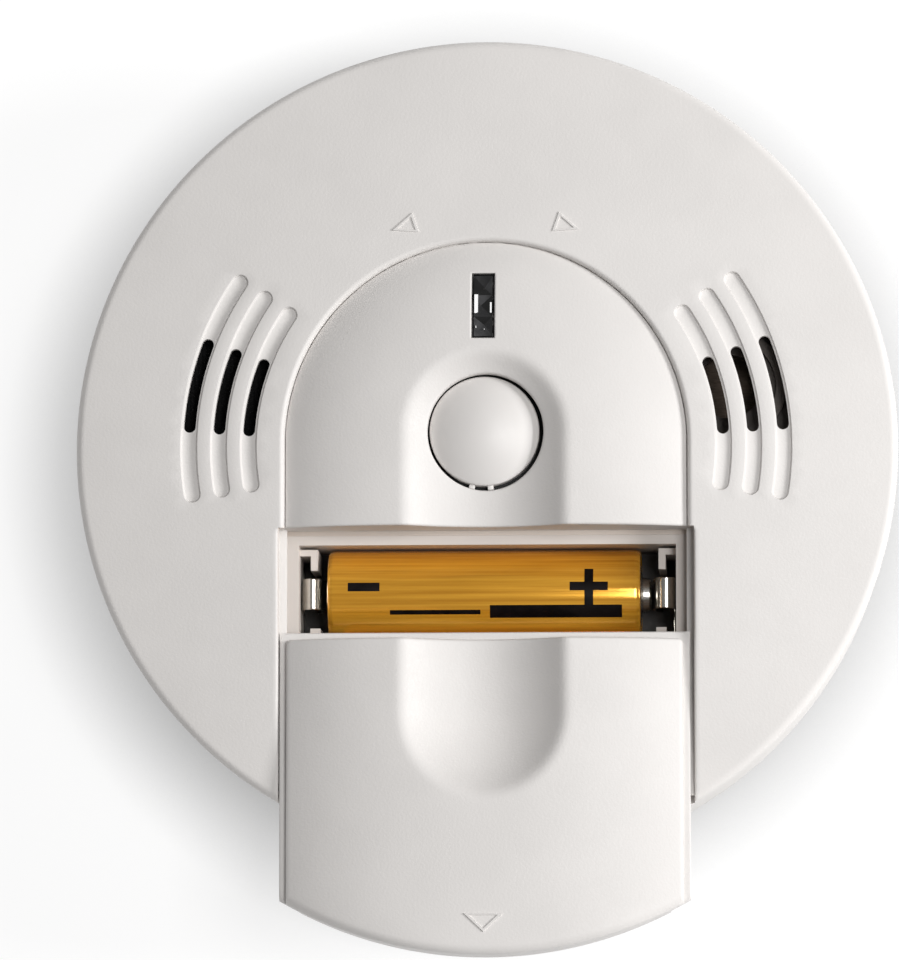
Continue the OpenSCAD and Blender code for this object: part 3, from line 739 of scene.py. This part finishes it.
def door_shape():
    corner = degrees(acos(FLANGE_HALF / DOOR_R))
    side_y = -sqrt(DOOR_R ** 2 - FLANGE_HALF ** 2)
    end = degrees(acos(DOOR_END_HALF / DOOR_R))
    outline = path(arc_points(DOOR_R, -180 + corner, -180 + end - 0.03, 0.7),
                   arc_points(DOOR_R, -180 + end + 0.03, -end - 0.03, 0.7),
                   arc_points(DOOR_R, -end + 0.03, -corner, 0.7),
                   line_points((FLANGE_HALF, side_y), (FLANGE_HALF, DOOR_TOP_Y), 0.8),
                   line_points((FLANGE_HALF, DOOR_TOP_Y), (-FLANGE_HALF, DOOR_TOP_Y), 0.6),
                   line_points((-FLANGE_HALF, DOOR_TOP_Y), (-FLANGE_HALF, side_y), 0.8))
    lines = [door_side_line(off, 0.8) for off in (-0.75, -0.4, -0.25, -0.12, -0.04, -0.01, 0.02)]
    lines += [door_side_line(off, 0.8) for off in (0.6, 0.93, 1.0, 1.06)]
    for tilt in (0, 12, 25, 38, 50, 62, 74, 84):
        r = DOOR_R - 1.4 * (1 - sin(radians(tilt)))
        lines.append(arc_points(r, -180 + corner + 0.3, -corner - 0.3, 0.8))
    lines += [arch_line(half, DOOR_TOP_Y - 1.3, SCOOP_LOW_Y, -180) for half in SCOOP_LINES]
    grids = [(0.9, grid_points(0.9, in_door))]
    inner = [door_side_line(-WALL, WALL + 0.8, 3)]
    for off in (0.02, -0.02):
        r = DOOR_R - WALL + off
        turn = degrees(acos((DOOR_END_HALF + off) / r))
        arc = arc_points(r, -180 + turn, -turn, 1.5)
        inner.append(path([(arc[0][0], -58.5)], arc, [(arc[-1][0], -58.5)]))
    shape = sheet([outline], lines, grids, in_door, door_top, door_under, inner, 2.5)
    for side in (1, -1):
        shape.join(side_block(side, STOP_FROM, DOOR_HALF, (-54.8, DOOR_FOOT_Z + 1),
                              (-15, FLANGE_Z - 0.3), 0.1))
        shape.join(side_block(side, STOP_FROM, FLANGE_HALF, (-22, DOOR_FOOT_Z),
                              (-14, DOOR_FOOT_Z + 1.01), 0.15))
    rib_low = (-30, DOOR_FRONT_Y - 1.8, FLANGE_Z - FLANGE_T)
    shape.join(block(rib_low, (30, DOOR_FRONT_Y - 0.4, FLANGE_Z - 0.2), 0.1))
    arrow_at = Matrix.Translation((0, DOOR_ARROW_Y, cushion_z(0, DOOR_ARROW_Y)))
    shape.join(arrow_frame(2.9, 6.2, 0.3, arrow_at @ Matrix.Rotation(-pi / 2, 4, "Z")))
    return shape.moved(Matrix.Translation((DOOR_PLAY, DOOR_SHIFT, 0)))


# ---------- button and window ----------

def button_shape():
    """Convex cap with a rounded edge, a skirt, a stem, two key ribs and a black ring down in the gap, which
    is painted shade.
    """
    edge_z = SCOOP_FLOOR_Z + 0.6
    crown_z = BUTTON_HIGH.z
    low_z = BUTTON_LOW.z
    flange_z = edge_z - 4.4
    bend = 0.55
    cap_r = ((BUTTON_R - bend) ** 2 + (crown_z - edge_z) ** 2) / (2 * (crown_z - edge_z))
    lean = asin((BUTTON_R - bend) / cap_r)
    r = BUTTON_R
    profile = [(0, low_z), (2.0, low_z), (2.2, low_z + 0.2), (2.2, flange_z + 2), (r - 1.6, flange_z + 2),
               (r - 1.6, flange_z), (r + 1.2, flange_z), (r + 1.4, flange_z + 0.2),
               (r + 1.4, flange_z + 1), (r + 1.2, flange_z + 1.2), (r, flange_z + 1.2)]
    centre = (BUTTON_R - bend, edge_z - bend * cos(lean))
    for i in range(9):
        a = (pi / 2 - lean) * i / 8
        profile.append((centre[0] + bend * cos(a), centre[1] + bend * sin(a)))
    top_z = profile[-1][1]
    shoulder = profile[-1][0]
    for i in range(15, -1, -1):
        r = shoulder * i / 16
        profile.append((r, top_z + sqrt(cap_r ** 2 - r ** 2) - sqrt(cap_r ** 2 - shoulder ** 2)))
    shape = revolved(profile, 128)
    for turn in (-103, -84):
        rib = block((BUTTON_R - 0.4, -0.45, flange_z), (BUTTON_HOLE_R + 0.12, 0.45, edge_z - 0.75), 0.12)
        shape.join(rib.moved(Matrix.Rotation(radians(turn), 4, "Z")))
    # Painted shade: a black ring low in the gap round the cap stands in for the shade down there.
    shade_ring_z = flange_z + 1.15
    shade_ring_in, shade_ring_out = BUTTON_R - 0.1, BUTTON_R + 1.3
    painted_shade_ring = [(shade_ring_in, shade_ring_z), (shade_ring_out, shade_ring_z), (shade_ring_out, shade_ring_z + 0.3), (shade_ring_in, shade_ring_z + 0.3)]
    shape.join(tube_ring(painted_shade_ring, 128, 1))
    return shape.moved(Matrix.Translation((BUTTON_PLAY[0], BUTTON_Y + BUTTON_PLAY[1], 0)))


# Facets that lean so far that they mirror the overhead light: (x, y, half width, half length).
GLINTS = [(-1.08, 0.25, 0.33, 1.55), (1.22, -0.3, 0.17, 0.85), (-1.1, -3.4, 0.1, 0.22),
          (0.2, -3.8, 0.08, 0.14)]
GLINT_LEAN_X, GLINT_LEAN_Y = radians(3.2), radians(10.9)


def window_shape():
    """Smoked lens: three shallow moulded pyramids in a row, inside a bevelled rim."""
    half_x, half_y = WINDOW_HALF.x - 0.06, WINDOW_HALF.y - 0.06
    cx, cy = WINDOW_AT.x, WINDOW_AT.y
    field_x, field_y = half_x - 0.3, half_y - 0.3
    rows = [-field_y, -field_y / 3 - 0.15, field_y / 3 + 0.1, field_y]
    peaks = [(0.15, 0.3, -0.35), (-0.35, 0.1, -0.27), (0.2, -0.35, -0.6)]
    points, faces = [], []
    for y in rows:
        points += [(cx - field_x, cy + y), (cx + field_x, cy + y)]
    sunk = [(x, y, cushion_z(x, y) - 0.75) for x, y in points]
    for row, (px, py, depth) in enumerate(peaks):
        a = 2 * row
        x, y = cx + px, cy + (rows[row] + rows[row + 1]) / 2 + py
        peak = len(sunk)
        sunk.append((x, y, cushion_z(x, y) - 0.75 + depth))
        corners = [a, a + 1, a + 3, a + 2]
        faces += [[corners[k], corners[(k + 1) % 4], peak] for k in range(4)]
    rim = [0, 1, 3, 5, 7, 6, 4, 2]
    rings = [rim]
    for grow, drop in ((0.2, 0.5), (0.3, 0.6), (0.3, 8.5)):
        start = len(sunk)
        for k in rim:
            x = cx + (sunk[k][0] - cx) * (field_x + grow) / field_x
            y = cy + (sunk[k][1] - cy) * (field_y + grow) / field_y
            sunk.append((x, y, cushion_z(x, y) - drop))
        rings.append([start + i for i in range(len(rim))])
    for low, high in zip(rings, rings[1:]):
        for i in range(len(rim)):
            j = (i + 1) % len(rim)
            faces.append([low[j], low[i], high[i], high[j]])
    faces.append(rings[-1][::-1])
    shape = Shape().add(sunk, faces)
    # The pyramids' facets take the lighter and darker copies of the lens in turn, as painted reflection and
    # shade.
    shape.slots[:12] = [(5 * k + 2) % 3 for k in range(12)]
    lean = Matrix.Rotation(GLINT_LEAN_Y, 4, "Y") @ Matrix.Rotation(GLINT_LEAN_X, 4, "X")
    # The leaning facets take the lighter copy of the lens, a painted highlight on top of the light they
    # mirror.
    for x, y, half_w, half_l in GLINTS:
        facet = block((-half_w, -half_l, -1.2), (half_w, half_l, 0), 0.04, 1)
        shape.join(facet.moved(Matrix.Translation((cx + x, cy + y, cushion_z(cx, cy + y) - 0.55)) @ lean))
    return shape


# ---------- battery bay ----------

CELL_RAISE = 0.45
CAN_EXTRA = 0.4, 0
SLEEVE_EXTRA = 0.85, 0.5


def longer_box(node, reach, extra):
    """Box of a cell's node, longer at its negative and its positive end. reach tells which way it points."""
    low, high = node_box(node)
    low.x -= extra[0 if reach > 0 else 1]
    high.x += extra[1 if reach > 0 else 0]
    return low, high


LYING = Matrix.Rotation(pi / 2, 4, "Y")


def laid(shape, low, high, reach):
    """Moves a shape that lies along +X into a cell's box, turned round if reach is negative."""
    at = Vector((low.x if reach > 0 else high.x, (low.y + high.y) / 2 + CELL_RAISE, (low.z + high.z) / 2))
    return shape.moved(Matrix.Translation(at) @ Matrix.Rotation(0 if reach > 0 else pi, 4, "Z"))


def cell_shape(node, reach):
    """Steel can of a cell: rounded shoulders, a crimped rim and a domed nub at its positive end."""
    low, high = longer_box(node, reach, CAN_EXTRA)
    r = (high.z - low.z) / 2
    length = high.x - low.x
    body = length - 1.6
    profile = [(0, 0.35), (3.6, 0.35), (3.9, 0.1), (4.6, 0.0), (5.2, 0.25), (r - 0.9, 0.25), (r - 0.35, 0.38),
               (r - 0.08, 0.75), (r, 1.2), (r, body - 1.6), (r - 0.08, body - 1.05), (r - 0.35, body - 0.55),
               (r - 0.85, body - 0.25), (r - 1.5, body - 0.12), (5.0, body - 0.1), (4.6, body), (3.9, body),
               (3.4, body + 0.15), (2.85, body + 0.3), (2.72, body + 0.7), (2.6, length - 0.35),
               (2.3, length - 0.1), (1.6, length), (0, length)]
    return laid(revolved(profile, 72).moved(LYING), low, high, reach)


def patch(r, x_from, x_to, low, high, slot):
    """Thin printed patch on a cell, between two places along it and two angles in degrees from its top."""
    steps = max(2, round(abs(high - low) / 4))
    points = []
    for i in range(steps + 1):
        a = radians(low + (high - low) * i / steps)
        for rr in (r + 0.012, r - 0.03):
            points += [(x, rr * sin(a), rr * cos(a)) for x in (x_from, x_to)]
    faces = [[0, 1, 3, 2], [steps * 4 + k for k in (2, 3, 1, 0)]]
    for i in range(steps):
        a, b = i * 4, (i + 1) * 4
        faces += [[a + k, b + k, b + n, a + n] for k, n in ((0, 1), (1, 3), (3, 2), (2, 0))]
    return Shape().add(points, faces, slot)


def sleeve_shape(node, reach):
    """Shrunk film sleeve turned in over the can's shoulders, with plain printed polarity marks and bars."""
    low, high = longer_box(node, reach, SLEEVE_EXTRA)
    r = (high.z - low.z) / 2
    length = high.x - low.x
    inner = r - 0.13
    edge = [(r - 0.62, 0.12), (r - 0.3, 0.22), (r - 0.08, 0.6), (r, 1.1)]
    turned_in = [(inner, 1.1), (r - 0.42, 0.4), (r - 0.7, 0.22)]
    section = edge + [(x, length - z) for x, z in edge[::-1] + turned_in[::-1]] + turned_in
    shape = tube_ring(section, 120).moved(LYING)
    marks = [(3.4, 8.4, 1, 12), (length - 11.2, length - 5.2, 1, 12), (length - 8.9, length - 7.5, -17, 1),
             (length - 8.9, length - 7.5, 12, 30), (length * 0.52, length - 3, -34, -17),
             (10, length * 0.49, -29, -23)]
    for mark in marks:
        shape.join(patch(r, *mark, 1))
    return laid(shape, low, high, reach)


LEAF_T = 0.4
LEAF_HALF = 2.45
LEAF_WALL_X = 29.4
LEAF_BEND_R = 1.6
LEAF_BEND_Z = 25


def leaf_shape(side, y):
    """Sprung contact leaf: up the wall, over a round bend and down against the cell, in one bent strip."""
    t = LEAF_T
    wall_x = LEAF_WALL_X - t / 2
    bend = LEAF_BEND_R - t / 2
    centre_line = [(wall_x, 15.6), (wall_x, 20), (wall_x, 24.6)]
    for a in (pi * i / 12 for i in range(1, 13)):
        centre_line.append((LEAF_WALL_X - LEAF_BEND_R + bend * cos(a), LEAF_BEND_Z + bend * sin(a)))
    centre_line += [(26.3, 24.2), (26.12, 23.2), (25.97, 22.3), (25.98, 21.5), (26.2, 20.6), (26.6, 19.6),
                    (27.15, 18.5)]
    section = [(1, 0.94), (0.6, 1), (-0.6, 1), (-1, 0.94), (-1, -0.94), (-0.6, -1), (0.6, -1), (1, -0.94)]
    rings = []
    for k, (x, z) in enumerate(centre_line):
        before = centre_line[max(k - 1, 0)]
        after = centre_line[min(k + 1, len(centre_line) - 1)]
        along = Vector((after[0] - before[0], after[1] - before[1])).normalized()
        across = Vector((along.y, -along.x)) * t / 2
        rings.append([(side * (x + off * across.x), y + side * width * LEAF_HALF, z + off * across.y)
                      for off, width in section])
    return lofted(rings)


# ---------- smoke chamber screen ----------

WIRE_R, WIRE_PITCH = 0.11, 0.62


def screen_shape():
    """Woven screen over the smoke chamber: crossing wires on a thin disc, and a plain wall below."""
    centre = (SCREEN_LOW + SCREEN_HIGH) / 2
    r = (SCREEN_HIGH.x - SCREEN_LOW.x) / 2
    top = SCREEN_HIGH.z
    disc_r, disc_low, disc_high = r - 0.5, top - 0.42, top - 0.38
    shape = tube_ring([(r - 0.4, SCREEN_LOW.z), (r, SCREEN_LOW.z), (r, top - 0.5), (r - 0.15, top - 0.1),
                       (disc_r, top), (r - 0.9, top - 0.1), (r - 0.9, top - 0.35), (r - 0.4, top - 0.55)], 96)
    shape.join(tube_ring([(0.01, disc_low), (disc_r, disc_low), (disc_r, disc_high), (0.01, disc_high)], 48))
    count = int((r - 1) / WIRE_PITCH)
    for i in range(-count, count + 1):
        at = i * WIRE_PITCH
        reach = sqrt((r - 0.6) ** 2 - at ** 2)
        steps = max(2, int(2 * reach / WIRE_PITCH))
        for across in (False, True):
            rings = []
            for k in range(steps + 1):
                s = -reach + 2 * reach * k / steps
                z = top - 0.2 + 0.07 * cos(pi * (s / WIRE_PITCH + i + across))
                ring = []
                for a in turn_angles(5):
                    beside, up = at + WIRE_R * cos(a), z + WIRE_R * sin(a)
                    ring.append((beside, s, up) if across else (s, beside, up))
                rings.append(ring[::-1] if across else ring)
            shape.join(lofted(rings))
    return shape.moved(Matrix.Translation((centre.x, centre.y, 0)))


# ---------- materials ----------

def set_values(node, **values):
    """Sets a node's properties, and its inputs by their names with spaces as underscores."""
    for key, value in values.items():
        if hasattr(node, key):
            setattr(node, key, value)
        else:
            node.inputs[key.replace("_", " ")].default_value = value
    return node


def add_node(material, kind, **values):
    return set_values(material.node_tree.nodes.new(kind), **values)


def make_material(name, colour, roughness, metallic=0.0, **values):
    """A new material and its shader, with further values for the shader's own inputs."""
    material = bpy.data.materials.new(name)
    material.use_nodes = True
    shader = material.node_tree.nodes["Principled BSDF"]
    set_values(shader, Base_Color=(*colour, 1), Roughness=roughness, Metallic=metallic, **values)
    return material, shader


def link(material, a, output, b, socket):
    material.node_tree.links.new(a.outputs[output], b.inputs[socket])


def noise(material, size, detail=2.0, stretch=(1, 1, 1)):
    """Noise whose marks are about a size in millimetres."""
    place = add_node(material, "ShaderNodeTexCoord")
    scaled = add_node(material, "ShaderNodeMapping", Scale=stretch)
    texture = add_node(material, "ShaderNodeTexNoise", Scale=1 / (size * MM), Detail=detail, Roughness=0.55)
    link(material, place, "Object", scaled, "Vector")
    link(material, scaled, "Vector", texture, "Vector")
    return texture


def colour_ramp(material, dark, light, start, end):
    ramp = add_node(material, "ShaderNodeValToRGB")
    for stop, colour, place in zip(ramp.color_ramp.elements, (dark, light), (start, end)):
        stop.position = place
        stop.color = (*colour, 1)
    return ramp


def tint(material, shader, texture, dark, light):
    """Lets a texture vary the colour between two colours."""
    ramp = colour_ramp(material, dark, light, 0.35, 0.65)
    link(material, texture, "Fac", ramp, "Fac")
    link(material, ramp, "Color", shader, "Base Color")


def vary_roughness(material, shader, texture, low, high):
    spread = add_node(material, "ShaderNodeMapRange", From_Min=0.3, From_Max=0.7, To_Min=low, To_Max=high)
    link(material, texture, "Fac", spread, "Value")
    link(material, spread, "Result", shader, "Roughness")


def relief(material, shader, textures):
    """Bumps on top of each other: (texture, depth in millimetres) pairs."""
    below = None
    for texture, depth in textures:
        bump = add_node(material, "ShaderNodeBump", Strength=1.0, Distance=depth * MM)
        link(material, texture, "Fac", bump, "Height")
        if below:
            link(material, below, "Normal", bump, "Normal")
        below = bump
    link(material, below, "Normal", shader, "Normal")


def shade(colour, factor):
    return tuple(c * factor for c in colour)


def moulded(name, colour, roughness, grain_size, grain_depth, spread=0.03):
    """Moulded plastic: fine spark-eroded grain, slow unevenness, and slightly uneven colour and gloss."""
    material, shader = make_material(name, colour, roughness, Specular_IOR_Level=0.4)
    cloud = noise(material, 14, 3)
    grain = noise(material, grain_size, 2)
    tint(material, shader, cloud, shade(colour, 1 - spread), shade(colour, 1 + spread / 3))
    vary_roughness(material, shader, grain, roughness - 0.05, roughness + 0.07)
    relief(material, shader, [(cloud, 0.02), (grain, grain_depth)])
    return material


def metal(name, colour, roughness, brushed=(1, 14, 1), depth=0.0015):
    """Rolled metal with fine lines along one direction and faint stains."""
    material, shader = make_material(name, colour, roughness, 1.0)
    lines = noise(material, 1.2, 4, brushed)
    stains = noise(material, 3, 3)
    tint(material, shader, stains, shade(colour, 0.88), colour)
    vary_roughness(material, shader, lines, roughness * 0.7, roughness * 1.4)
    relief(material, shader, [(lines, depth)])
    return material


# Colour, roughness, and size and depth of the grain in millimetres. Some have a wider spread of colour.
PLASTICS = {
    "cover_plastic": ((0.71, 0.685, 0.665), 0.5, 0.42, 0.026),
    "button_plastic": ((0.72, 0.695, 0.675), 0.4, 0.9, 0.002),
    "bay_plastic": ((0.66, 0.58, 0.515), 0.5, 0.42, 0.01),
    "bracket_plastic": ((0.6, 0.59, 0.57), 0.55, 0.5, 0.006),
    "inner_plastic": ((0.62, 0.6, 0.58), 0.5, 0.6, 0.004),
    "black_plastic": ((0.012, 0.012, 0.013), 0.55, 0.3, 0.006, 0.3),
    "mesh_black": ((0.004, 0.004, 0.0045), 0.75, 0.2, 0.003, 0.3),
    "sounder_plastic": ((0.11, 0.09, 0.078), 0.5, 0.5, 0.006, 0.15),
    "gasket_rubber": ((0.03, 0.03, 0.03), 0.85, 0.25, 0.01, 0.2),
    "board_green": ((0.02, 0.12, 0.045), 0.35, 1.5, 0.008, 0.25),
    "chip_black": ((0.02, 0.02, 0.022), 0.6, 0.2, 0.004, 0.2),
    "chip_ceramic": ((0.35, 0.24, 0.15), 0.45, 0.3, 0.003, 0.15),
    "can_sleeve": ((0.02, 0.03, 0.1), 0.25, 2, 0.003, 0.2),
    "ferrite": ((0.05, 0.045, 0.045), 0.7, 0.35, 0.01, 0.3),
    "chamber_plastic": ((0.01, 0.01, 0.01), 0.65, 0.4, 0.008, 0.3),
    "label_paper": ((0.5, 0.5, 0.49), 0.6, 0.25, 0.002, 0.08),
}
# Colour and roughness. Some have other brush lines.
METALS = {
    "contact_metal": ((0.72, 0.69, 0.63), 0.2),
    "screw_steel": ((0.5, 0.5, 0.5), 0.35, (1, 1, 1)),
    "cell_steel": ((0.78, 0.76, 0.72), 0.22, (1, 6, 6)),
    "sensor_metal": ((0.66, 0.66, 0.64), 0.3, (1, 1, 14)),
    "brass": ((0.74, 0.55, 0.24), 0.25),
    # Brass darkened to a near black brown, for the sounder disc.
    "darkened_brass": ((0.16, 0.125, 0.1), 0.6),
}
MATERIALS = {name: moulded(name, *values) for name, values in PLASTICS.items()}
MATERIALS |= {name: metal(name, *values) for name, values in METALS.items()}


def sleeve_film():
    """Gold shrink film: lacquered, half as metallic as foil, with faint stretch lines along the cell. The
    lines' light and dark streaks in the colour are painted reflection; in the gloss and bumps they are the
    film's own.
    """
    material, shader = make_material("cell_sleeve_film", (0.9, 0.42, 0.05), 0.2, 0.5,
                                     Coat_Weight=0.6, Coat_Roughness=0.08)
    lines = noise(material, 0.8, 4, (0.02, 1, 1))
    # Painted reflection: the streaks lighten and darken the colour along the cell.
    tint(material, shader, lines, (0.7, 0.31, 0.02), (1.0, 0.5, 0.045))
    vary_roughness(material, shader, lines, 0.1, 0.17)
    relief(material, shader, [(lines, 0.002)])
    return material


def print_ink():
    material, shader = make_material("cell_print", (0.004, 0.003, 0.003), 0.35, Specular_IOR_Level=0.12)
    specks = noise(material, 3, 2)
    tint(material, shader, specks, (0.003, 0.002, 0.002), (0.006, 0.004, 0.004))
    vary_roughness(material, shader, specks, 0.3, 0.45)
    return material


def smoked_lens(name, depth):
    """Smoked clear plastic, darker or lighter as its depth argument sets. Copies of different darkness on the
    lens's facets are painted reflection and shade.
    """
    colour = (depth, depth, 1.05 * depth)
    material, shader = make_material(name, colour, 0.08, Specular_IOR_Level=0.8, Coat_Weight=0.6,
                                     Coat_Roughness=0.03)
    cloud = noise(material, 1.6, 2)
    tint(material, shader, cloud, shade(colour, 0.7), shade(colour, 1.3))
    vary_roughness(material, shader, cloud, 0.04, 0.12)
    return material


def clear_plastic(name, colour, weight):
    material, shader = make_material(name, colour, 0.12, Transmission_Weight=weight)
    cloud = noise(material, 2, 2)
    tint(material, shader, cloud, shade(colour, 0.85), colour)
    vary_roughness(material, shader, cloud, 0.08, 0.18)
    return material


def tray_material_with_painted_shade():
    """White moulding with painted shade: its floor and lower walls are darkened towards the bottom, so that
    the bay looks deep.
    """
    material = moulded("tray_plastic_painted_shade", (0.62, 0.6, 0.58), 0.5, 0.6, 0.004)
    shader = material.node_tree.nodes["Principled BSDF"]
    place = add_node(material, "ShaderNodeTexCoord")
    axes = add_node(material, "ShaderNodeSeparateXYZ")
    # Painted shade: the colour goes from white to near black towards the bottom of the tray.
    depth = add_node(material, "ShaderNodeMapRange", From_Min=PAINTED_SHADE_DARK_Z * MM, From_Max=PAINTED_SHADE_CLEAR_Z * MM)
    ramp = colour_ramp(material, (0.03, 0.026, 0.024), (0.62, 0.57, 0.53), 0, 1)
    link(material, place, "Object", axes, "Vector")
    link(material, axes, "Z", depth, "Value")
    link(material, depth, "Result", ramp, "Fac")
    link(material, ramp, "Color", shader, "Base Color")
    return material


MATERIALS["tray_plastic_painted_shade"] = tray_material_with_painted_shade()
MATERIALS["clear_plastic"] = clear_plastic("clear_plastic", (0.8, 0.82, 0.83), 0.85)
MATERIALS["red_lens"] = clear_plastic("red_lens", (0.7, 0.03, 0.02), 0.5)
MATERIALS["green_lens"] = clear_plastic("green_lens", (0.03, 0.5, 0.06), 0.5)
film = sleeve_film()
ink = print_ink()
# Painted reflection and shade: lighter and darker copies of the lens stand in for how its facets mirror the
# light.
lens_painted_shades = [smoked_lens(f"window_lens{part}", depth)
          for part, depth in (("", 0.004), ("_facet", 0.02), ("_edge", 0.045))]

# ---------- pieces that stand for CAD nodes ----------

cover_plastic = MATERIALS["cover_plastic"]
# The black plastic here is painted shade in the button's gap.
button_plastics = [MATERIALS["button_plastic"], MATERIALS["black_plastic"]]
contact_metal = [MATERIALS["contact_metal"]]
add_piece("cover_moulding", cover_shape(), "alarm", ["front_cover"],
          [cover_plastic, MATERIALS["bay_plastic"]])
add_piece("door_moulding", door_shape(), "door", ["battery_door"], [cover_plastic])
add_piece("button_cap", button_shape(), "button", ["test_button"], button_plastics, 40)
add_piece("window_pane", window_shape(), "alarm", ["status_window"], lens_painted_shades, 5)
add_piece("chamber_screen", screen_shape(), "alarm", ["insect_screen"], [MATERIALS["mesh_black"]],
          60)
for number, reach in (("1", 1), ("2", -1)):
    can, sleeve = f"cell_{number}_can", f"cell_{number}_sleeve"
    add_piece(f"battery_{number}_can", cell_shape(can, reach), "alarm", [can], [MATERIALS["cell_steel"]])
    add_piece(f"battery_{number}_film", sleeve_shape(sleeve, reach), "alarm", [sleeve], [film, ink])

for number in "12":
    node = f"contact_cell_{number}"
    low, high = node_box(node)
    middle = (low.y + high.y) / 2
    tail = block((-LEAF_WALL_X, middle - 1.5, low.z), (LEAF_T - LEAF_WALL_X, middle + 1.5, 16), 0.1)
    leaf = leaf_shape(-1, middle).join(tail)
    add_piece(f"contact_{number}_leaf", leaf, "alarm", [node], contact_metal, 25)
low, high = node_box("contact_bridge")
bridge = block((LEAF_WALL_X - LEAF_T, low.y, low.z), (LEAF_WALL_X, high.y, low.z + 3.2), 0.1)
for middle in (low.y + LEAF_HALF, high.y - LEAF_HALF):
    bridge.join(leaf_shape(1, middle))
add_piece("contact_bridge_leaf", bridge, "alarm", ["contact_bridge"], contact_metal, 25)

# ---------- CAD nodes that stay ----------

# Nodes by their material and by how far their edges are rounded in millimetres.
FINISHES = {
    ("bracket_plastic", 0.3): "mounting_bracket",
    ("inner_plastic", 0.25): "rear_housing",
    ("inner_plastic", 0.2): "co_sensor_cap",
    ("label_paper", 0.05): "rating_plate",
    # The battery tray carries painted shade in its colour.
    ("tray_plastic_painted_shade", 0.12): "battery_tray",
    ("black_plastic", 0.2): "switch_plunger test_switch sounder_housing",
    ("black_plastic", 0): "photo_diode",
    ("clear_plastic", 0.15): "light_guide",
    ("clear_plastic", 0): "ir_emitter",
    ("red_lens", 0): "led_red",
    ("green_lens", 0): "led_green",
    ("board_green", 0): "circuit_board",
    ("chip_black", 0.06): "microcontroller logic_chip",
    ("chip_ceramic", 0.06): "chip_components",
    ("can_sleeve", 0.2): "capacitors",
    ("ferrite", 0.15): "boost_coil",
    ("chamber_plastic", 0.15): "smoke_chamber_base",
    ("chamber_plastic", 0.1): "smoke_chamber_cap",
    ("sensor_metal", 0.25): "co_sensor_cell",
    ("brass", 0): "co_sensor_pins",
    ("darkened_brass", 0): "sounder_disc",
    ("sounder_plastic", 0.25): "sounder_cap",
    ("gasket_rubber", 0): "sounder_gasket",
    ("screw_steel", 0.12): "housing_screws board_screws",
}
for (finish, bevel), nodes in FINISHES.items():
    for obj in (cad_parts[node] for node in nodes.split()):
        obj.data.materials.clear()
        obj.data.materials.append(MATERIALS[finish])
        if bevel:
            rounding = obj.modifiers.new("rounded_edges", "BEVEL")
            rounding.width = bevel * MM
            rounding.segments = 2
            rounding.limit_method = "ANGLE"
            rounding.angle_limit = radians(50)

# ---------- floor, lights and camera ----------

TILT_X = radians(2.75)
TILT_Y = radians(6.4)
DISTANCE = 1.35
PIXELS_PER_METRE = 6390
SENSOR = 36
FRAME_WIDTH = 899
AIM = Vector((-5.7, -5.2, 35)) * MM
FLOOR_REACH = 3

bpy.context.scene.view_settings.view_transform = "Standard"

floor_mesh = bpy.data.meshes.new("floor")
reach = FLOOR_REACH
floor_mesh.from_pydata([(-reach, -reach, 0), (reach, -reach, 0), (reach, reach, 0), (-reach, reach, 0)],
                       [], [(0, 1, 2, 3)])
floor = bpy.data.objects.new("floor", floor_mesh)
bpy.context.collection.objects.link(floor)
floor_paint, floor_shader = make_material("floor_paint", (0.3, 0.3, 0.3), 0.9, Specular_IOR_Level=0,
                                          Emission_Strength=0.77)
tint(floor_paint, floor_shader, noise(floor_paint, 300, 2), (0.295, 0.295, 0.295), (0.305, 0.305, 0.305))
# The floor glows, and glows less where it is covered, which paints a soft shadow round the detector (painted
# shadow).
painted_shadow_ao = add_node(floor_paint, "ShaderNodeAmbientOcclusion", Distance=18 * MM)
link(floor_paint, painted_shadow_ao, "Color", floor_shader, "Emission Color")
floor.data.materials.append(floor_paint)

camera_data = bpy.data.cameras.new("camera")
camera = bpy.data.objects.new("camera", camera_data)
bpy.context.collection.objects.link(camera)
away = Vector((tan(TILT_X), -tan(TILT_Y), 1)).normalized()
camera.location = AIM + away * DISTANCE
side = Vector((0, 1, 0)).cross(away).normalized()
up = away.cross(side)
camera.rotation_euler = Matrix((side, up, away)).transposed().to_euler()
camera_data.sensor_fit = "HORIZONTAL"
camera_data.sensor_width = SENSOR
camera_data.lens = PIXELS_PER_METRE * SENSOR / FRAME_WIDTH * DISTANCE
camera_data.clip_end = 20
bpy.context.scene.camera = camera


def soft_light(name, angle, distance, wide, deep, power):
    """Rectangular light on the +X side, aimed at the detector from an angle off straight above in degrees."""
    data = bpy.data.lights.new(name, "AREA")
    data.shape = "RECTANGLE"
    data.size, data.size_y = wide, deep
    data.energy = power
    light = bpy.data.objects.new(name, data)
    turn = Matrix.Rotation(radians(angle), 4, "Y")
    light.matrix_world = Matrix.Translation(turn @ Vector((0, 0, distance))) @ turn
    bpy.context.collection.objects.link(light)


soft_light("key_light", 60, 1.1, 0.3, 0.3, 9.4)
soft_light("overhead_light", 19, 2, 0.76, 0.7, 18.8)

world = bpy.data.worlds.new("studio")
bpy.context.scene.world = world
world.use_nodes = True
set_values(world.node_tree.nodes["Background"], Color=(1, 1, 1, 1), Strength=0.18)
